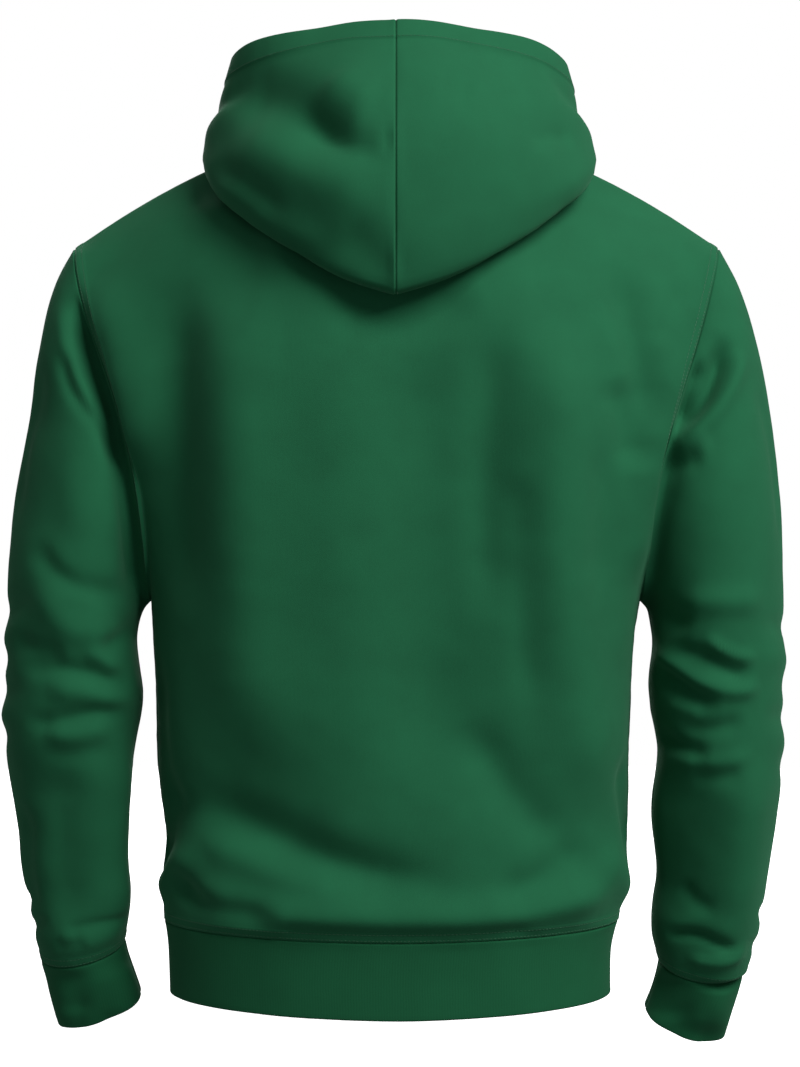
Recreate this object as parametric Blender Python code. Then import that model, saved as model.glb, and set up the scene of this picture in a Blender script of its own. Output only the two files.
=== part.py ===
"""A zip-up hoodie, filled out as if worn, with its hood down.

Metres, +Z up, the front towards -Y and the wearer's left towards +X. The origin is at the middle of the
neck, level with the points where the neck meets the shoulders. Each piece of cloth is a grid of points on
its right side, with a wall of the cloth's thickness behind it. Tables are in millimetres.
"""

import math
from collections import namedtuple

import bmesh
import bpy
import numpy as np
from mathutils import Matrix, Vector

MM = 0.001

# Cloth
FLEECE = 2.4 * MM
RIB = 3.2 * MM
TAPE = 1.0 * MM
SEAM_GAP = 0.3 * MM
SAME_POINT = 0.01 * MM
SEAM_EVENING = 4
SHARPEST_CREASE = 50
TINY = 1e-12

# Neck and shoulders
NECK_HALF_WIDTH = 88 * MM
NECK_SIDE_Z = -8 * MM
NECK_BACK = 72 * MM
NECK_BACK_Z = -16 * MM
NECK_FRONT = -96 * MM
NECK_FRONT_Z = -74 * MM
NECK_DIP = 1.6
SHOULDER_SLOPE = 0.308
SHOULDER_CURVE = 1.224

# Armholes
ARMHOLE_TOP = -95 * MM
UNDERARM = -377 * MM
ARMHOLE_BACK = 57 * MM
ARMHOLE_FRONT = -61 * MM

# Body
BODY_ROUNDNESS = 2.3
BODY_FILL = 1.1
BODY_EVENING = 3
NECK_REACH = 0.55
NECK_DEPTH_FALL = 2.6
NECK_HEIGHT_FALL = 1.3
HEM_SEAM = -634 * MM
HEM = -694 * MM
SIDE_LIFT = 7 * MM
SIDE_LIFT_POWER = 1.5
ZIP_HALF_GAP = 8 * MM

# How many faces each way
NECK_STEPS = 8
SHOULDER_STEPS = 6
ARMHOLE_STEPS = 12
SIDE_STEPS = 12
BAND_STEPS = 3
SLEEVE_STEPS = 22
CUFF_STEPS = 3
FINE_STEPS = 400

# Half widths of the armhole seams by height, on the wearer's left and right. The front is scooped further in.
Armhole = namedtuple("Armhole", "z left right scoop")
ARMHOLE = (
    Armhole(-95, 257, 258, 0),
    Armhole(-140, 247, 246, 3),
    Armhole(-190, 229, 231, 8),
    Armhole(-245, 212, 214, 8),
    Armhole(-300, 202, 202, 4),
    Armhole(-377, 196, 195, 0),
)

# Half widths at the side seams
Side = namedtuple("Side", "z left right")
SIDE = (
    Side(-377, 196, 195),
    Side(-412, 194, 190),
    Side(-456, 192, 188),
    Side(-504, 191, 186),
    Side(-540, 187, 186),
    Side(-572, 184, 185),
    Side(-602, 187, 184),
    Side(-631, 185, 178),
    Side(-648, 183, 174),
    Side(-690, 181, 172),
)

# Depth of the body at its middle, by height
Depth = namedtuple("Depth", "z y")
BACK_DEPTH = (
    Depth(-16, 72),
    Depth(-60, 96),
    Depth(-110, 113),
    Depth(-170, 125),
    Depth(-240, 131),
    Depth(-310, 130),
    Depth(-377, 127),
    Depth(-460, 122),
    Depth(-540, 119),
    Depth(-600, 120),
    Depth(-631, 117),
    Depth(-690, 113),
)
FRONT_DEPTH = (
    Depth(-74, -96),
    Depth(-100, -107),
    Depth(-140, -119),
    Depth(-190, -129),
    Depth(-250, -135),
    Depth(-310, -136),
    Depth(-377, -134),
    Depth(-460, -129),
    Depth(-540, -126),
    Depth(-600, -125),
    Depth(-631, -121),
    Depth(-690, -115),
)

# Sections across a sleeve: its outer and inner points seen from behind, its middle and half depth from the
# side, and how far its back hangs below its middle
Section = namedtuple("Section", "outer_x outer_z inner_x inner_z y half_depth drop")
SLEEVE_LEFT = (
    Section(257, -95, 196, -377, 0, 58, 0),
    Section(271, -121, 200.5, -381.5, 0, 64, 0),
    Section(281, -160, 204, -388, 0, 69, 0),
    Section(288, -204, 206, -396, 1, 72, 0),
    Section(296, -255, 207, -407, 2, 72, 0),
    Section(303, -306, 206, -420, 3, 70, 0),
    Section(308, -352, 204, -434, 3, 67, 0),
    Section(311, -396, 202, -449, 3, 64, 0),
    Section(312, -440, 204, -468, 2, 62, 1),
    Section(312, -482, 209, -494, 1, 59, 2),
    Section(308, -524, 212, -527, -2, 56, 4),
    Section(303, -562, 215, -561, -6, 52, 6),
    Section(300, -598, 215, -594, -10, 48, 8),
    Section(294, -627, 213.5, -621, -14, 44, 9),
    Section(291, -648, 217, -639, -17, 40, 10),
    Section(286, -663, 219, -651, -19, 35, 10),
)
SLEEVE_RIGHT = (
    Section(258, -95, 195, -377, 0, 58, 0),
    Section(272, -121, 200, -381, 0, 64, 0),
    Section(285, -160, 203, -387, 0, 69, 0),
    Section(294, -204, 204.5, -396, 1, 72, 0),
    Section(301, -255, 205.5, -407, 2, 72, 0),
    Section(306, -306, 204.5, -420, 3, 70, 0),
    Section(309, -352, 202, -436, 3, 67, 0),
    Section(310, -396, 202, -452, 3, 64, 0),
    Section(310, -442, 205, -472, 2, 62, 1),
    Section(309, -486, 209, -497, 1, 59, 2),
    Section(307, -526, 206.5, -529, -2, 56, 4),
    Section(303, -564, 206, -562, -6, 52, 6),
    Section(298, -600, 209.5, -594, -10, 48, 8),
    Section(294, -632, 206, -624, -14, 44, 10),
    Section(288, -656, 207, -651, -17, 40, 11),
    Section(280, -673, 212, -666, -19, 35, 11),
)
CUFF_LEFT = (
    Section(286, -663, 219, -651, -19, 35, 10),
    Section(282, -679, 216, -663, -20, 33.5, 10),
    Section(278, -698, 211, -678, -22, 33, 10),
    Section(273, -718, 206, -694, -24, 33.5, 10),
)
CUFF_RIGHT = (
    Section(280, -673, 212, -666, -19, 35, 11),
    Section(276, -689, 209.5, -679, -20, 33.5, 12),
    Section(271, -707, 206, -693, -22, 33, 12),
    Section(266, -727, 201, -707, -24, 33.5, 12),
)
SLEEVE_EASE = 6

# The hood from the neck seam up to the edge round the face: each way out from the neck has a distance out and
# a height for the turn above the neck seam, the side that lies on the body, the lowest fold, the bulge just
# above it, the cheek and the free edge. 0 degrees is the middle of the back and 180 the zip.
Hood = namedtuple(
    "Hood", "degrees turn turn_z under under_z fold fold_z bulge bulge_z cheek cheek_z edge edge_z"
)
HOOD = (
    Hood(0, 83, 6, 117, -92, 136, -144, 150, -88, 134, 10, 97, 70),
    Hood(18, 84, 7, 117, -84, 136, -130, 151, -82, 135, 12, 98, 69),
    Hood(36, 87, 9, 120, -68, 139, -107, 152, -68, 136, 14, 104, 65),
    Hood(57, 92, 12, 127, -44, 146, -76, 155, -50, 141, 14, 124, 61),
    Hood(72, 96, 13, 131, -24, 151, -50, 158, -33, 142, 20, 131, 55.5),
    Hood(90, 98, 12, 129, -11, 151, -28, 156, -18, 142, 20, 130, 49),
    Hood(110, 98, 1, 122, -21, 139, -40, 146, -22, 137, 14, 122, 38),
    Hood(130, 98, -21, 110, -30, 121, -42, 128, -25, 123, 2, 112, 22),
    Hood(150, 98, -49, 103, -44, 108, -38, 111, -29, 110, -14, 106, 0),
    Hood(165, 98, -62, 101, -56, 103, -49, 104, -41, 103, -31, 102, -21),
    Hood(180, 97, -69, 98, -64, 99, -59, 99.5, -54, 100, -49, 100, -44),
)
# How many faces between one of those places and the next
HOOD_STEPS = (2, 3, 3, 3, 3, 2)
HOOD_RIGHT_OUT = 1.035
HOOD_RIGHT_UP = -6 * MM
HOOD_RIGHT_FALL = 8

# Large folds, seen from behind or from the front: a trough has a positive depth and a ridge a negative one.
# A fold dies away over its ends and on cloth that turns to the side.
Fold = namedtuple("Fold", "width depth path")
FOLD_END_SHARE = 0.35
FOLD_END_WIDTHS = 3
FOLD_END_DEPTH = 0.25
FOLD_FACING = 0.6
BACK_FOLDS = (
    Fold(24, 9, ((-75, -194), (-81, -261), (-84, -340), (-86, -455), (-104, -540), (-122, -560))),
    Fold(24, -3, ((-128, -270), (-133, -392), (-147, -540))),
    Fold(23, 10, ((128, -486), (66, -532), (17, -562), (-24, -585))),
    Fold(18, -6, ((159, -546), (89, -573), (31, -592))),
    Fold(14, 5, ((176, -560), (137, -590), (92, -608))),
    Fold(34, 3, ((60, -250), (20, -350), (-6, -470))),
)
FRONT_FOLDS = (
    Fold(22, 6, ((168, -330), (140, -410), (128, -500))),
    Fold(20, -4, ((126, -340), (104, -450), (98, -540))),
    Fold(20, 7, ((170, -505), (120, -556), (66, -590))),
    Fold(22, 6, ((-164, -320), (-146, -400), (-124, -470))),
    Fold(22, 7, ((-168, -528), (-124, -570), (-70, -596))),
)
SLEEVE_BACK_FOLDS = (
    Fold(11, 6, ((286, -350), (250, -362), (214, -378))),
    Fold(10, -4, ((284, -378), (252, -392), (226, -410))),
    Fold(10, 6, ((300, -420), (256, -431), (208, -434))),
    Fold(9, -3, ((290, -440), (252, -448), (222, -450))),
    Fold(10, 5, ((284, -462), (248, -466), (212, -466))),
    Fold(16, 6, ((268, -150), (246, -215), (228, -286))),
    Fold(12, -4, ((284, -168), (264, -232))),
)
SLEEVE_BACK_FOLDS_RIGHT = (
    Fold(12, 6, ((-274, -196), (-254, -232), (-222, -268))),
    Fold(11, 5, ((-214, -412), (-244, -430), (-284, -434))),
    Fold(8, -5, ((-208, -422), (-242, -440), (-286, -444))),
    Fold(10, 6, ((-206, -434), (-250, -454), (-292, -452))),
    Fold(12, -3, ((-206, -376), (-236, -384))),
    Fold(14, 4, ((-208, -488), (-246, -486), (-284, -472))),
)
SLEEVE_FRONT_FOLDS = (
    Fold(11, 7, ((204, -404), (250, -398), (300, -380))),
    Fold(10, -4, ((206, -430), (252, -424), (300, -408))),
    Fold(11, 7, ((206, -462), (252, -454), (300, -444))),
    Fold(12, 5, ((210, -506), (250, -496), (290, -488))),
    Fold(16, 6, ((266, -160), (240, -230), (214, -300))),
)
HOOD_FOLDS = (
    Fold(12, 8, ((66, 50), (48, 0), (18, -18), (4, -20))),
    Fold(13, -5, ((42, 46), (30, 22))),
    Fold(13, -4, ((132, 16), (84, -18), (48, -38))),
    Fold(12, 5, ((142, -8), (104, -34))),
    Fold(18, 4, ((118, 38), (104, 26))),
)

# Zip
TAPE_INNER = 2.2 * MM
TAPE_OUTER = 17 * MM
TAPE_TOP = 3 * MM
SLIDER_DOWN = 12.5 * MM
SLIDER_LENGTH = 13 * MM
SLIDER_HALF_WIDTH = 5 * MM
SLIDER_FRONT = 1.6 * MM
SLIDER_BACK = 1.2 * MM
SLIDER_POST_HALF_WIDTH = 1.9 * MM
SLIDER_POST_LENGTH = 4 * MM
SLIDER_POST_INSET = 0.7 * MM
SLIDER_BEVEL = 0.5 * MM
PLATE_BEVEL = 0.4 * MM
JOIN_DEPTH = 0.3 * MM
TEETH_HALF_THICKNESS = 1.4 * MM
SLIDER_CLEARANCE = 0.3 * MM
PIN_LIFT = 1.8 * MM
BRIDGE_INNER = 1.6 * MM
BRIDGE_OUTER = 2.9 * MM
BRIDGE_HALF_WIDTH = 1.0 * MM
TAB_THICKNESS = 1.3 * MM
TAB_HALF_WIDTH = 3.1 * MM
TAB_LENGTH = 25 * MM
TAB_WINDOW_HALF_WIDTH = 1.5 * MM
TAB_WINDOW_END = 3.5 * MM
TAB_TAPER = 0.8

GREEN = (0.024, 0.13, 0.058)
RIB_GREEN = (0.020, 0.112, 0.050)
TAPE_GREEN = (0.016, 0.085, 0.038)
METAL = (0.52, 0.53, 0.55)


def clear_scene():
    for thing in list(bpy.data.objects):
        bpy.data.objects.remove(thing, do_unlink=True)


def material(name, colour, roughness, metallic=0.0):
    made = bpy.data.materials.new(name)
    made.use_nodes = True
    surface = made.node_tree.nodes["Principled BSDF"]
    surface.inputs["Base Color"].default_value = (*colour, 1)
    surface.inputs["Roughness"].default_value = roughness
    surface.inputs["Metallic"].default_value = metallic
    return made


def unit(vectors):
    return vectors / np.maximum(np.linalg.norm(vectors, axis=-1, keepdims=True), TINY)


def spline(knots, values, at):
    """The natural cubic curve through values at knots, read at the places in at."""
    knots = np.asarray(knots, float)
    values = np.asarray(values, float).reshape(len(knots), -1)
    at = np.asarray(at, float)
    gaps = np.diff(knots)
    count = len(knots)
    matrix = np.eye(count)
    right = np.zeros_like(values)
    slopes = np.diff(values, axis=0) / gaps[:, None]
    for i in range(1, count - 1):
        matrix[i, i - 1 : i + 2] = gaps[i - 1], 2 * (gaps[i - 1] + gaps[i]), gaps[i]
        right[i] = 6 * (slopes[i] - slopes[i - 1])
    bend = np.linalg.solve(matrix, right)
    i = np.clip(np.searchsorted(knots, at) - 1, 0, count - 2)
    gap = gaps[i][:, None]
    after = at[:, None] - knots[i][:, None]
    before = gap - after
    found = (bend[i] * before**3 + bend[i + 1] * after**3) / (6 * gap)
    found += (values[i] / gap - bend[i] * gap / 6) * before
    found += (values[i + 1] / gap - bend[i + 1] * gap / 6) * after
    return found


def column_at_height(table, column, z):
    """A column of a table that runs downwards, in metres, at the heights z."""
    knots = [-row.z * MM for row in table]
    values = [getattr(row, column) * MM for row in table]
    return spline(knots, values, -np.atleast_1d(z))[:, 0]


def ease(t):
    t = np.clip(t, 0, 1)
    return t * t * (3 - 2 * t)


class Sheet:
    """A piece of cloth: points on its right side, rows by columns, and the way out at each."""

    def __init__(self, name, points, thickness, seams=(), closed=False, turned=False):
        self.name = name
        self.points = np.array(points, float)
        self.thickness = thickness
        self.seams = seams
        self.closed = closed
        self.turned = turned
        self.normals = self.ways_out()

    def ways_out(self):
        down = np.gradient(self.points, axis=0)
        if self.closed:
            across = np.roll(self.points, -1, axis=1) - np.roll(self.points, 1, axis=1)
        else:
            across = np.gradient(self.points, axis=1)
        return unit(np.cross(across, down)) * (-1 if self.turned else 1)

    def sides(self):
        """The places along each side of the grid, in order."""
        rows, columns = self.points.shape[:2]
        across = list(range(columns)) + ([0] if self.closed else [])
        found = [[(row, column) for column in across] for row in (0, rows - 1)]
        if not self.closed:
            found += [[(row, column) for row in range(rows)] for column in (0, columns - 1)]
        return found

    def fold(self, folds, facing):
        """Moves points in or out along the large folds, on the side that faces +Y or -Y."""
        shift = np.zeros(self.points.shape[:2])
        for fold in folds:
            path = np.array(fold.path) * MM
            shift -= fold.depth * MM * nearness(self.points, path, fold.width * MM)
        side = ease(self.normals[..., 1] * facing / FOLD_FACING)
        self.points += self.normals * (shift * side * self.free())[..., None]
        self.normals = self.ways_out()

    def free(self):
        """0 on the seams, where neighbours have to meet, and 1 two points away."""
        rows, columns = self.points.shape[:2]
        row = np.arange(rows)[:, None]
        column = np.arange(columns)[None, :]
        away = np.minimum(row, rows - 1 - row) * np.ones((1, columns))
        if not self.closed:
            away = np.minimum(away, np.minimum(column, columns - 1 - column))
        return np.clip(away / 2, 0, 1)

    def relax(self, times):
        """Evens out the inner points and leaves the border."""
        for _ in range(times):
            grid = np.pad(self.points, ((0, 0), (1, 1), (0, 0)), "wrap" if self.closed else "edge")
            sides = grid[1:-1, :-2] + grid[1:-1, 2:]
            level = self.points[:-2] + self.points[2:]
            middle = (sides + level) / 4
            inner = slice(None) if self.closed else slice(1, -1)
            self.points[1:-1, inner] += 0.5 * (middle[:, inner] - self.points[1:-1, inner])
        self.normals = self.ways_out()

    def draw_back(self):
        """Takes each edge that is sewn to a neighbour half the gap away from the seam."""
        for seam in self.seams:
            along, inside = {
                "top": (self.points[0], self.points[1]),
                "bottom": (self.points[-1], self.points[-2]),
                "start": (self.points[:, 0], self.points[:, 1]),
                "end": (self.points[:, -1], self.points[:, -2]),
            }[seam]
            tangent = unit(np.gradient(along, axis=0))
            away = inside - along
            away = away - (away * tangent).sum(axis=-1, keepdims=True) * tangent
            along += unit(away) * SEAM_GAP / 2

    def inner(self):
        return self.points - self.normals * self.thickness


def nearness(points, path, width):
    """1 on a path seen along Y, falling smoothly to 0 over its width and towards its two ends."""
    flat = points[..., (0, 2)]
    lengths = np.linalg.norm(np.diff(path, axis=0), axis=1)
    starts = np.concatenate([[0], np.cumsum(lengths)])
    best = np.full(flat.shape[:2], np.inf)
    where = np.zeros(flat.shape[:2])
    for start, end, length, before in zip(path[:-1], path[1:], lengths, starts):
        t = np.clip(((flat - start) @ (end - start)) / length**2, 0, 1)
        off = np.linalg.norm(flat - (start + t[..., None] * (end - start)), axis=-1)
        where = np.where(off < best, before + t * length, where)
        best = np.minimum(best, off)
    reach = min(FOLD_END_SHARE * starts[-1], FOLD_END_WIDTHS * width)
    ends = ease(np.minimum(where, starts[-1] - where) / reach + FOLD_END_DEPTH)
    return np.exp(-((best / width) ** 2)) * ends


def share_seams(sheets):
    """Gives points that sheets share one way out, evened along the seams, so that their rims lie alike."""
    meeting = {}
    beside = {}
    for sheet in sheets:
        for side in sheet.sides():
            keys = [tuple(np.round(sheet.points[place] / SAME_POINT).astype(int)) for place in side]
            for place, key in zip(side, keys):
                meeting.setdefault(key, {})[sheet.name, place] = sheet
            for one, other in zip(keys[:-1], keys[1:]):
                beside.setdefault(one, set()).add(other)
                beside.setdefault(other, set()).add(one)
    shared = {key: group for key, group in meeting.items() if len({name for name, _ in group}) > 1}
    ways = {
        key: unit(sum(sheet.normals[place] for (_, place), sheet in group.items()))
        for key, group in shared.items()
    }
    for _ in range(SEAM_EVENING):
        ways = {
            key: unit(way + np.mean([ways[other] for other in beside[key] if other in ways] or [way], axis=0))
            for key, way in ways.items()
        }
    for key, group in shared.items():
        for (_, place), sheet in group.items():
            sheet.normals[place] = ways[key]
    for sheet in sheets:
        sheet.draw_back()


def cloth(sheet, dressed):
    """The solid of a sheet: a grid moved onto its points, and extruded to the wrong side."""
    outer = sheet.points
    inner = sheet.inner()
    if sheet.closed:
        outer = np.concatenate([outer, outer[:, :1]], axis=1)
        inner = np.concatenate([inner, inner[:, :1]], axis=1)
    rows, columns = outer.shape[:2]
    outer = outer.reshape(-1, 3)
    inner = inner.reshape(-1, 3)
    mesh = bmesh.new()
    bmesh.ops.create_grid(mesh, x_segments=columns - 1, y_segments=rows - 1, size=0.5)
    order = mesh.verts.layers.int.new("order")
    for index, vert in enumerate(mesh.verts):
        vert[order] = index
        vert.co = outer[index]
    if sheet.closed:
        bmesh.ops.remove_doubles(mesh, verts=mesh.verts, dist=SAME_POINT)
    made = bmesh.ops.extrude_face_region(mesh, geom=mesh.faces[:] + mesh.edges[:] + mesh.verts[:])
    for vert in made["geom"]:
        if isinstance(vert, bmesh.types.BMVert):
            vert.co = inner[vert[order]]
    bmesh.ops.recalc_face_normals(mesh, faces=mesh.faces)
    # Split the short way, so that the two rims at a seam are split alike.
    bmesh.ops.triangulate(mesh, faces=mesh.faces, quad_method="SHORT_EDGE")
    return piece(sheet.name, mesh, dressed)


def piece(name, mesh, dressed, smooth=True):
    data = bpy.data.meshes.new(name)
    mesh.to_mesh(data)
    mesh.free()
    data.materials.append(dressed)
    if smooth:
        data.shade_smooth()
        data.set_sharp_from_angle(angle=math.radians(SHARPEST_CREASE))
    made = bpy.data.objects.new(name, data)
    bpy.context.scene.collection.objects.link(made)
    return made


# Body


def neck_curve(face):
    """Points from the middle of the neck to where it meets the shoulder, at the back (1) or front (-1)."""
    turn = np.linspace(0, math.pi / 2, NECK_STEPS + 1)
    depth, middle = (NECK_BACK, NECK_BACK_Z) if face > 0 else (NECK_FRONT, NECK_FRONT_Z)
    x = NECK_HALF_WIDTH * np.sin(turn)
    y = depth * np.cos(turn)
    z = NECK_SIDE_Z + (middle - NECK_SIDE_Z) * np.maximum(np.cos(turn), 0) ** NECK_DIP
    y[-1] = 0
    z[-1] = NECK_SIDE_Z
    return np.stack([x, y, z], axis=-1)


def shoulder_curve(tip):
    """Points from the neck to the shoulder tip, without the first."""
    x = np.linspace(NECK_HALF_WIDTH, tip, SHOULDER_STEPS + 1)[1:]
    out = x - NECK_HALF_WIDTH
    z = NECK_SIDE_Z - SHOULDER_SLOPE * out - SHOULDER_CURVE * out**2
    z += (ARMHOLE_TOP - z[-1]) * out / out[-1]
    z[-1] = ARMHOLE_TOP
    return np.stack([x, 0 * x, z], axis=-1)


def armhole_curve(side, face):
    """Points down the seam of one armhole, evenly spaced, at the back or front of it."""
    turn = np.linspace(0, math.pi, FINE_STEPS)
    height = (ARMHOLE_TOP - UNDERARM) / 2
    z = UNDERARM + height + height * np.cos(turn)
    x = column_at_height(ARMHOLE, "left" if side > 0 else "right", z)
    if face < 0:
        x -= column_at_height(ARMHOLE, "scoop", z)
    y = (ARMHOLE_BACK if face > 0 else ARMHOLE_FRONT) * np.sin(turn)
    y[0] = y[-1] = 0
    fine = np.stack([x, y, z], axis=-1)
    run = np.concatenate([[0], np.cumsum(np.linalg.norm(np.diff(fine, axis=0), axis=1))])
    even = np.linspace(0, run[-1], ARMHOLE_STEPS + 1)
    curve = np.stack([np.interp(even, run, fine[:, axis]) for axis in range(3)], axis=-1)
    curve[0] = column_at_height(ARMHOLE, "left" if side > 0 else "right", ARMHOLE_TOP)[0], 0, ARMHOLE_TOP
    curve[-1] = column_at_height(ARMHOLE, "left" if side > 0 else "right", UNDERARM)[0], 0, UNDERARM
    return curve


def half_body(side, face):
    """Rows of points from the middle of the body to its side, from the neck down to the band's lower edge."""
    armhole = armhole_curve(side, face)
    neck = neck_curve(face)
    top = np.concatenate([neck, shoulder_curve(armhole[0, 0])])
    columns = NECK_STEPS + SHOULDER_STEPS
    at_top = top[:, 0] / armhole[0, 0]
    lower = np.sin(np.linspace(0, math.pi / 2, columns + 1)) ** (2 / BODY_ROUNDNESS)
    depths = BACK_DEPTH if face > 0 else FRONT_DEPTH
    upper_z = np.linspace(top[0, 2], UNDERARM, ARMHOLE_STEPS + 1)
    side_z = np.linspace(UNDERARM, HEM_SEAM, SIDE_STEPS + 1)[1:]
    band_z = np.linspace(HEM_SEAM, HEM, BAND_STEPS + 1)[1:]
    rows = []
    for row, z in enumerate(np.concatenate([upper_z, side_z, band_z])):
        down = min(row / ARMHOLE_STEPS, 1)
        share = at_top + (lower - at_top) * ease(down * BODY_FILL)
        depth = column_at_height(depths, "y", z)[0]
        if row <= ARMHOLE_STEPS:
            edge = armhole[row]
        else:
            lift = SIDE_LIFT * ((UNDERARM - z) / (UNDERARM - HEM)) ** 2
            edge = np.array([column_at_height(SIDE, "left" if side > 0 else "right", z)[0], 0, z + lift])
        reach = max(1 - abs(edge[1] / depth) ** BODY_ROUNDNESS, 0) ** (1 / BODY_ROUNDNESS)
        across = np.clip(share * reach, 0, 1)
        points = np.empty((columns + 1, 3))
        points[:, 0] = share * edge[0]
        points[:, 1] = depth * (1 - across**BODY_ROUNDNESS) ** (1 / BODY_ROUNDNESS)
        points[:, 2] = z + (edge[2] - z) * share**SIDE_LIFT_POWER
        points[-1] = edge
        rows.append(points)
    rows = np.array(rows)
    lift = top - rows[0]
    left = np.clip(1 - np.arange(len(rows)) / (NECK_REACH * ARMHOLE_STEPS), 0, 1)[:, None]
    rows[..., 1] += lift[:, 1] * left**NECK_DEPTH_FALL
    rows[..., 2] += lift[:, 2] * left**NECK_HEIGHT_FALL
    rows[0] = top
    rows[..., 0] *= side
    return rows


def zip_edge(rows, side):
    """The same rows with the middle moved out to the zip, and the points near it by less."""
    moved = rows.copy()
    out = np.abs(rows[..., 0])
    moved[..., 0] += side * ZIP_HALF_GAP * np.clip(1 - out / NECK_HALF_WIDTH, 0, 1)
    return moved


def body_sheets():
    seam = ARMHOLE_STEPS + SIDE_STEPS
    back = {side: half_body(side, 1) for side in (1, -1)}
    front = {side: zip_edge(half_body(side, -1), side) for side in (1, -1)}
    whole_back = np.concatenate([back[-1][:, :0:-1], back[1]], axis=1)
    panel = Sheet("back_panel", whole_back[: seam + 1], FLEECE, ("top", "bottom", "start", "end"))
    sheets = [panel]
    for side, name in ((1, "front_left"), (-1, "front_right")):
        rows = front[side][: seam + 1]
        sheets.append(Sheet(name, rows, FLEECE, ("top", "bottom", "end"), turned=side > 0))
    for sheet in sheets:
        sheet.relax(BODY_EVENING)
    panel.fold(BACK_FOLDS, 1)
    for sheet in sheets[1:]:
        sheet.fold(FRONT_FOLDS, -1)
    round_body = [front[1], back[1][:, ::-1][:, 1:], back[-1][:, 1:], front[-1][:, ::-1][:, 1:]]
    band = np.concatenate(round_body, axis=1)[seam:]
    sheets.append(Sheet("hem_band", band, RIB, ("top",), turned=True))
    return sheets


# Sleeves


def section_ring(section, side, turns):
    """An ellipse across a sleeve, from its outer point round by the back."""
    outer = np.array([section.outer_x * side, section.y, section.outer_z])
    inner = np.array([section.inner_x * side, section.y, section.inner_z])
    ring = (outer + inner) / 2 + np.cos(turns)[:, None] * (outer - inner) / 2
    ring[:, 1] += np.sin(turns) * section.half_depth
    ring[:, 2] -= np.sin(turns) * section.drop
    return ring


def rings(table, side, steps):
    """Rings of points at even steps along a table of sections."""
    values = np.array(table, float) * MM
    outers = values[:, (0, 1)]
    middles = (outers + values[:, (2, 3)]) / 2
    strides = sum(np.linalg.norm(np.diff(line, axis=0), axis=1) for line in (middles, outers))
    run = np.concatenate([[0], np.cumsum(strides)])
    turns = np.linspace(0, 2 * math.pi, 2 * ARMHOLE_STEPS + 1)[:-1]
    sections = spline(run, values, np.linspace(0, run[-1], steps + 1))
    return np.array([section_ring(Section(*section), side, turns) for section in sections])


def sleeve_sheets():
    sheets = []
    for side, name, sleeve, cuff, folds in (
        (1, "left", SLEEVE_LEFT, CUFF_LEFT, SLEEVE_BACK_FOLDS),
        (-1, "right", SLEEVE_RIGHT, CUFF_RIGHT, SLEEVE_BACK_FOLDS_RIGHT),
    ):
        tube = rings(sleeve, side, SLEEVE_STEPS)
        back = armhole_curve(side, 1)
        front = armhole_curve(side, -1)
        seam = np.concatenate([back, front[-2:0:-1]])
        seam[:, 0] *= side
        lift = seam - tube[0]
        for row in range(SLEEVE_EASE):
            tube[row] += lift * (1 - ease(row / SLEEVE_EASE))
        tube[0] = seam
        made = Sheet("sleeve_" + name, tube, FLEECE, ("top", "bottom"), closed=True, turned=side > 0)
        made.fold(folds, 1)
        mirrored = [fold._replace(path=[(x * side, z) for x, z in fold.path]) for fold in SLEEVE_FRONT_FOLDS]
        made.fold(mirrored, -1)
        end = rings(cuff, side, CUFF_STEPS)
        end[0] = tube[-1]
        sheets += [made, Sheet("cuff_" + name, end, RIB, ("top",), closed=True, turned=side > 0)]
    return sheets


# Hood


def hood_points(side):
    """Rows from the neck seam to the free edge, and columns from the middle of the back round to the zip."""
    back = neck_curve(1)
    front = neck_curve(-1)
    front[:, 0] += ZIP_HALF_GAP * np.clip(1 - front[:, 0] / NECK_HALF_WIDTH, 0, 1)
    neck = np.concatenate([back, front[-2::-1]])
    degrees = np.linspace(0, 180, len(neck))
    table = spline([row.degrees for row in HOOD], np.array(HOOD)[:, 1:] * MM, degrees)
    columns = []
    for angle, start, values in zip(np.radians(degrees), neck, table):
        out, up = values[0::2], values[1::2]
        wide = 1 if side > 0 else 1 + (HOOD_RIGHT_OUT - 1) * math.sin(angle) ** 2
        shift = HOOD_RIGHT_UP * math.sin(angle) ** HOOD_RIGHT_FALL if side < 0 else 0
        reach = out * wide
        edge_out = ZIP_HALF_GAP * max(-math.cos(angle), 0) ** 2
        x = reach * math.sin(angle) + edge_out
        y = reach * math.cos(angle)
        places = np.stack([x, y, up + shift * (up - up.min()) / np.ptp(up)], axis=-1)
        route = np.concatenate([start[None], places])
        run = np.concatenate([[0], np.cumsum(np.linalg.norm(np.diff(route, axis=0), axis=1))])
        reads = [0]
        for before, after, steps in zip(run[:-1], run[1:], HOOD_STEPS):
            reads += list(np.linspace(before, after, steps + 1)[1:])
        column = spline(run, route, reads)
        column[0] = start
        columns.append(column)
    points = np.array(columns).transpose(1, 0, 2)
    points[:, 0, 0] = 0
    points[..., 0] *= side
    return points


def hood_sheets():
    sheets = []
    for side, name in ((1, "hood_left"), (-1, "hood_right")):
        made = Sheet(name, hood_points(side), FLEECE, ("top", "start"), turned=side > 0)
        made.fold(HOOD_FOLDS, 1)
        sheets.append(made)
    return sheets


# Zip


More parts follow.
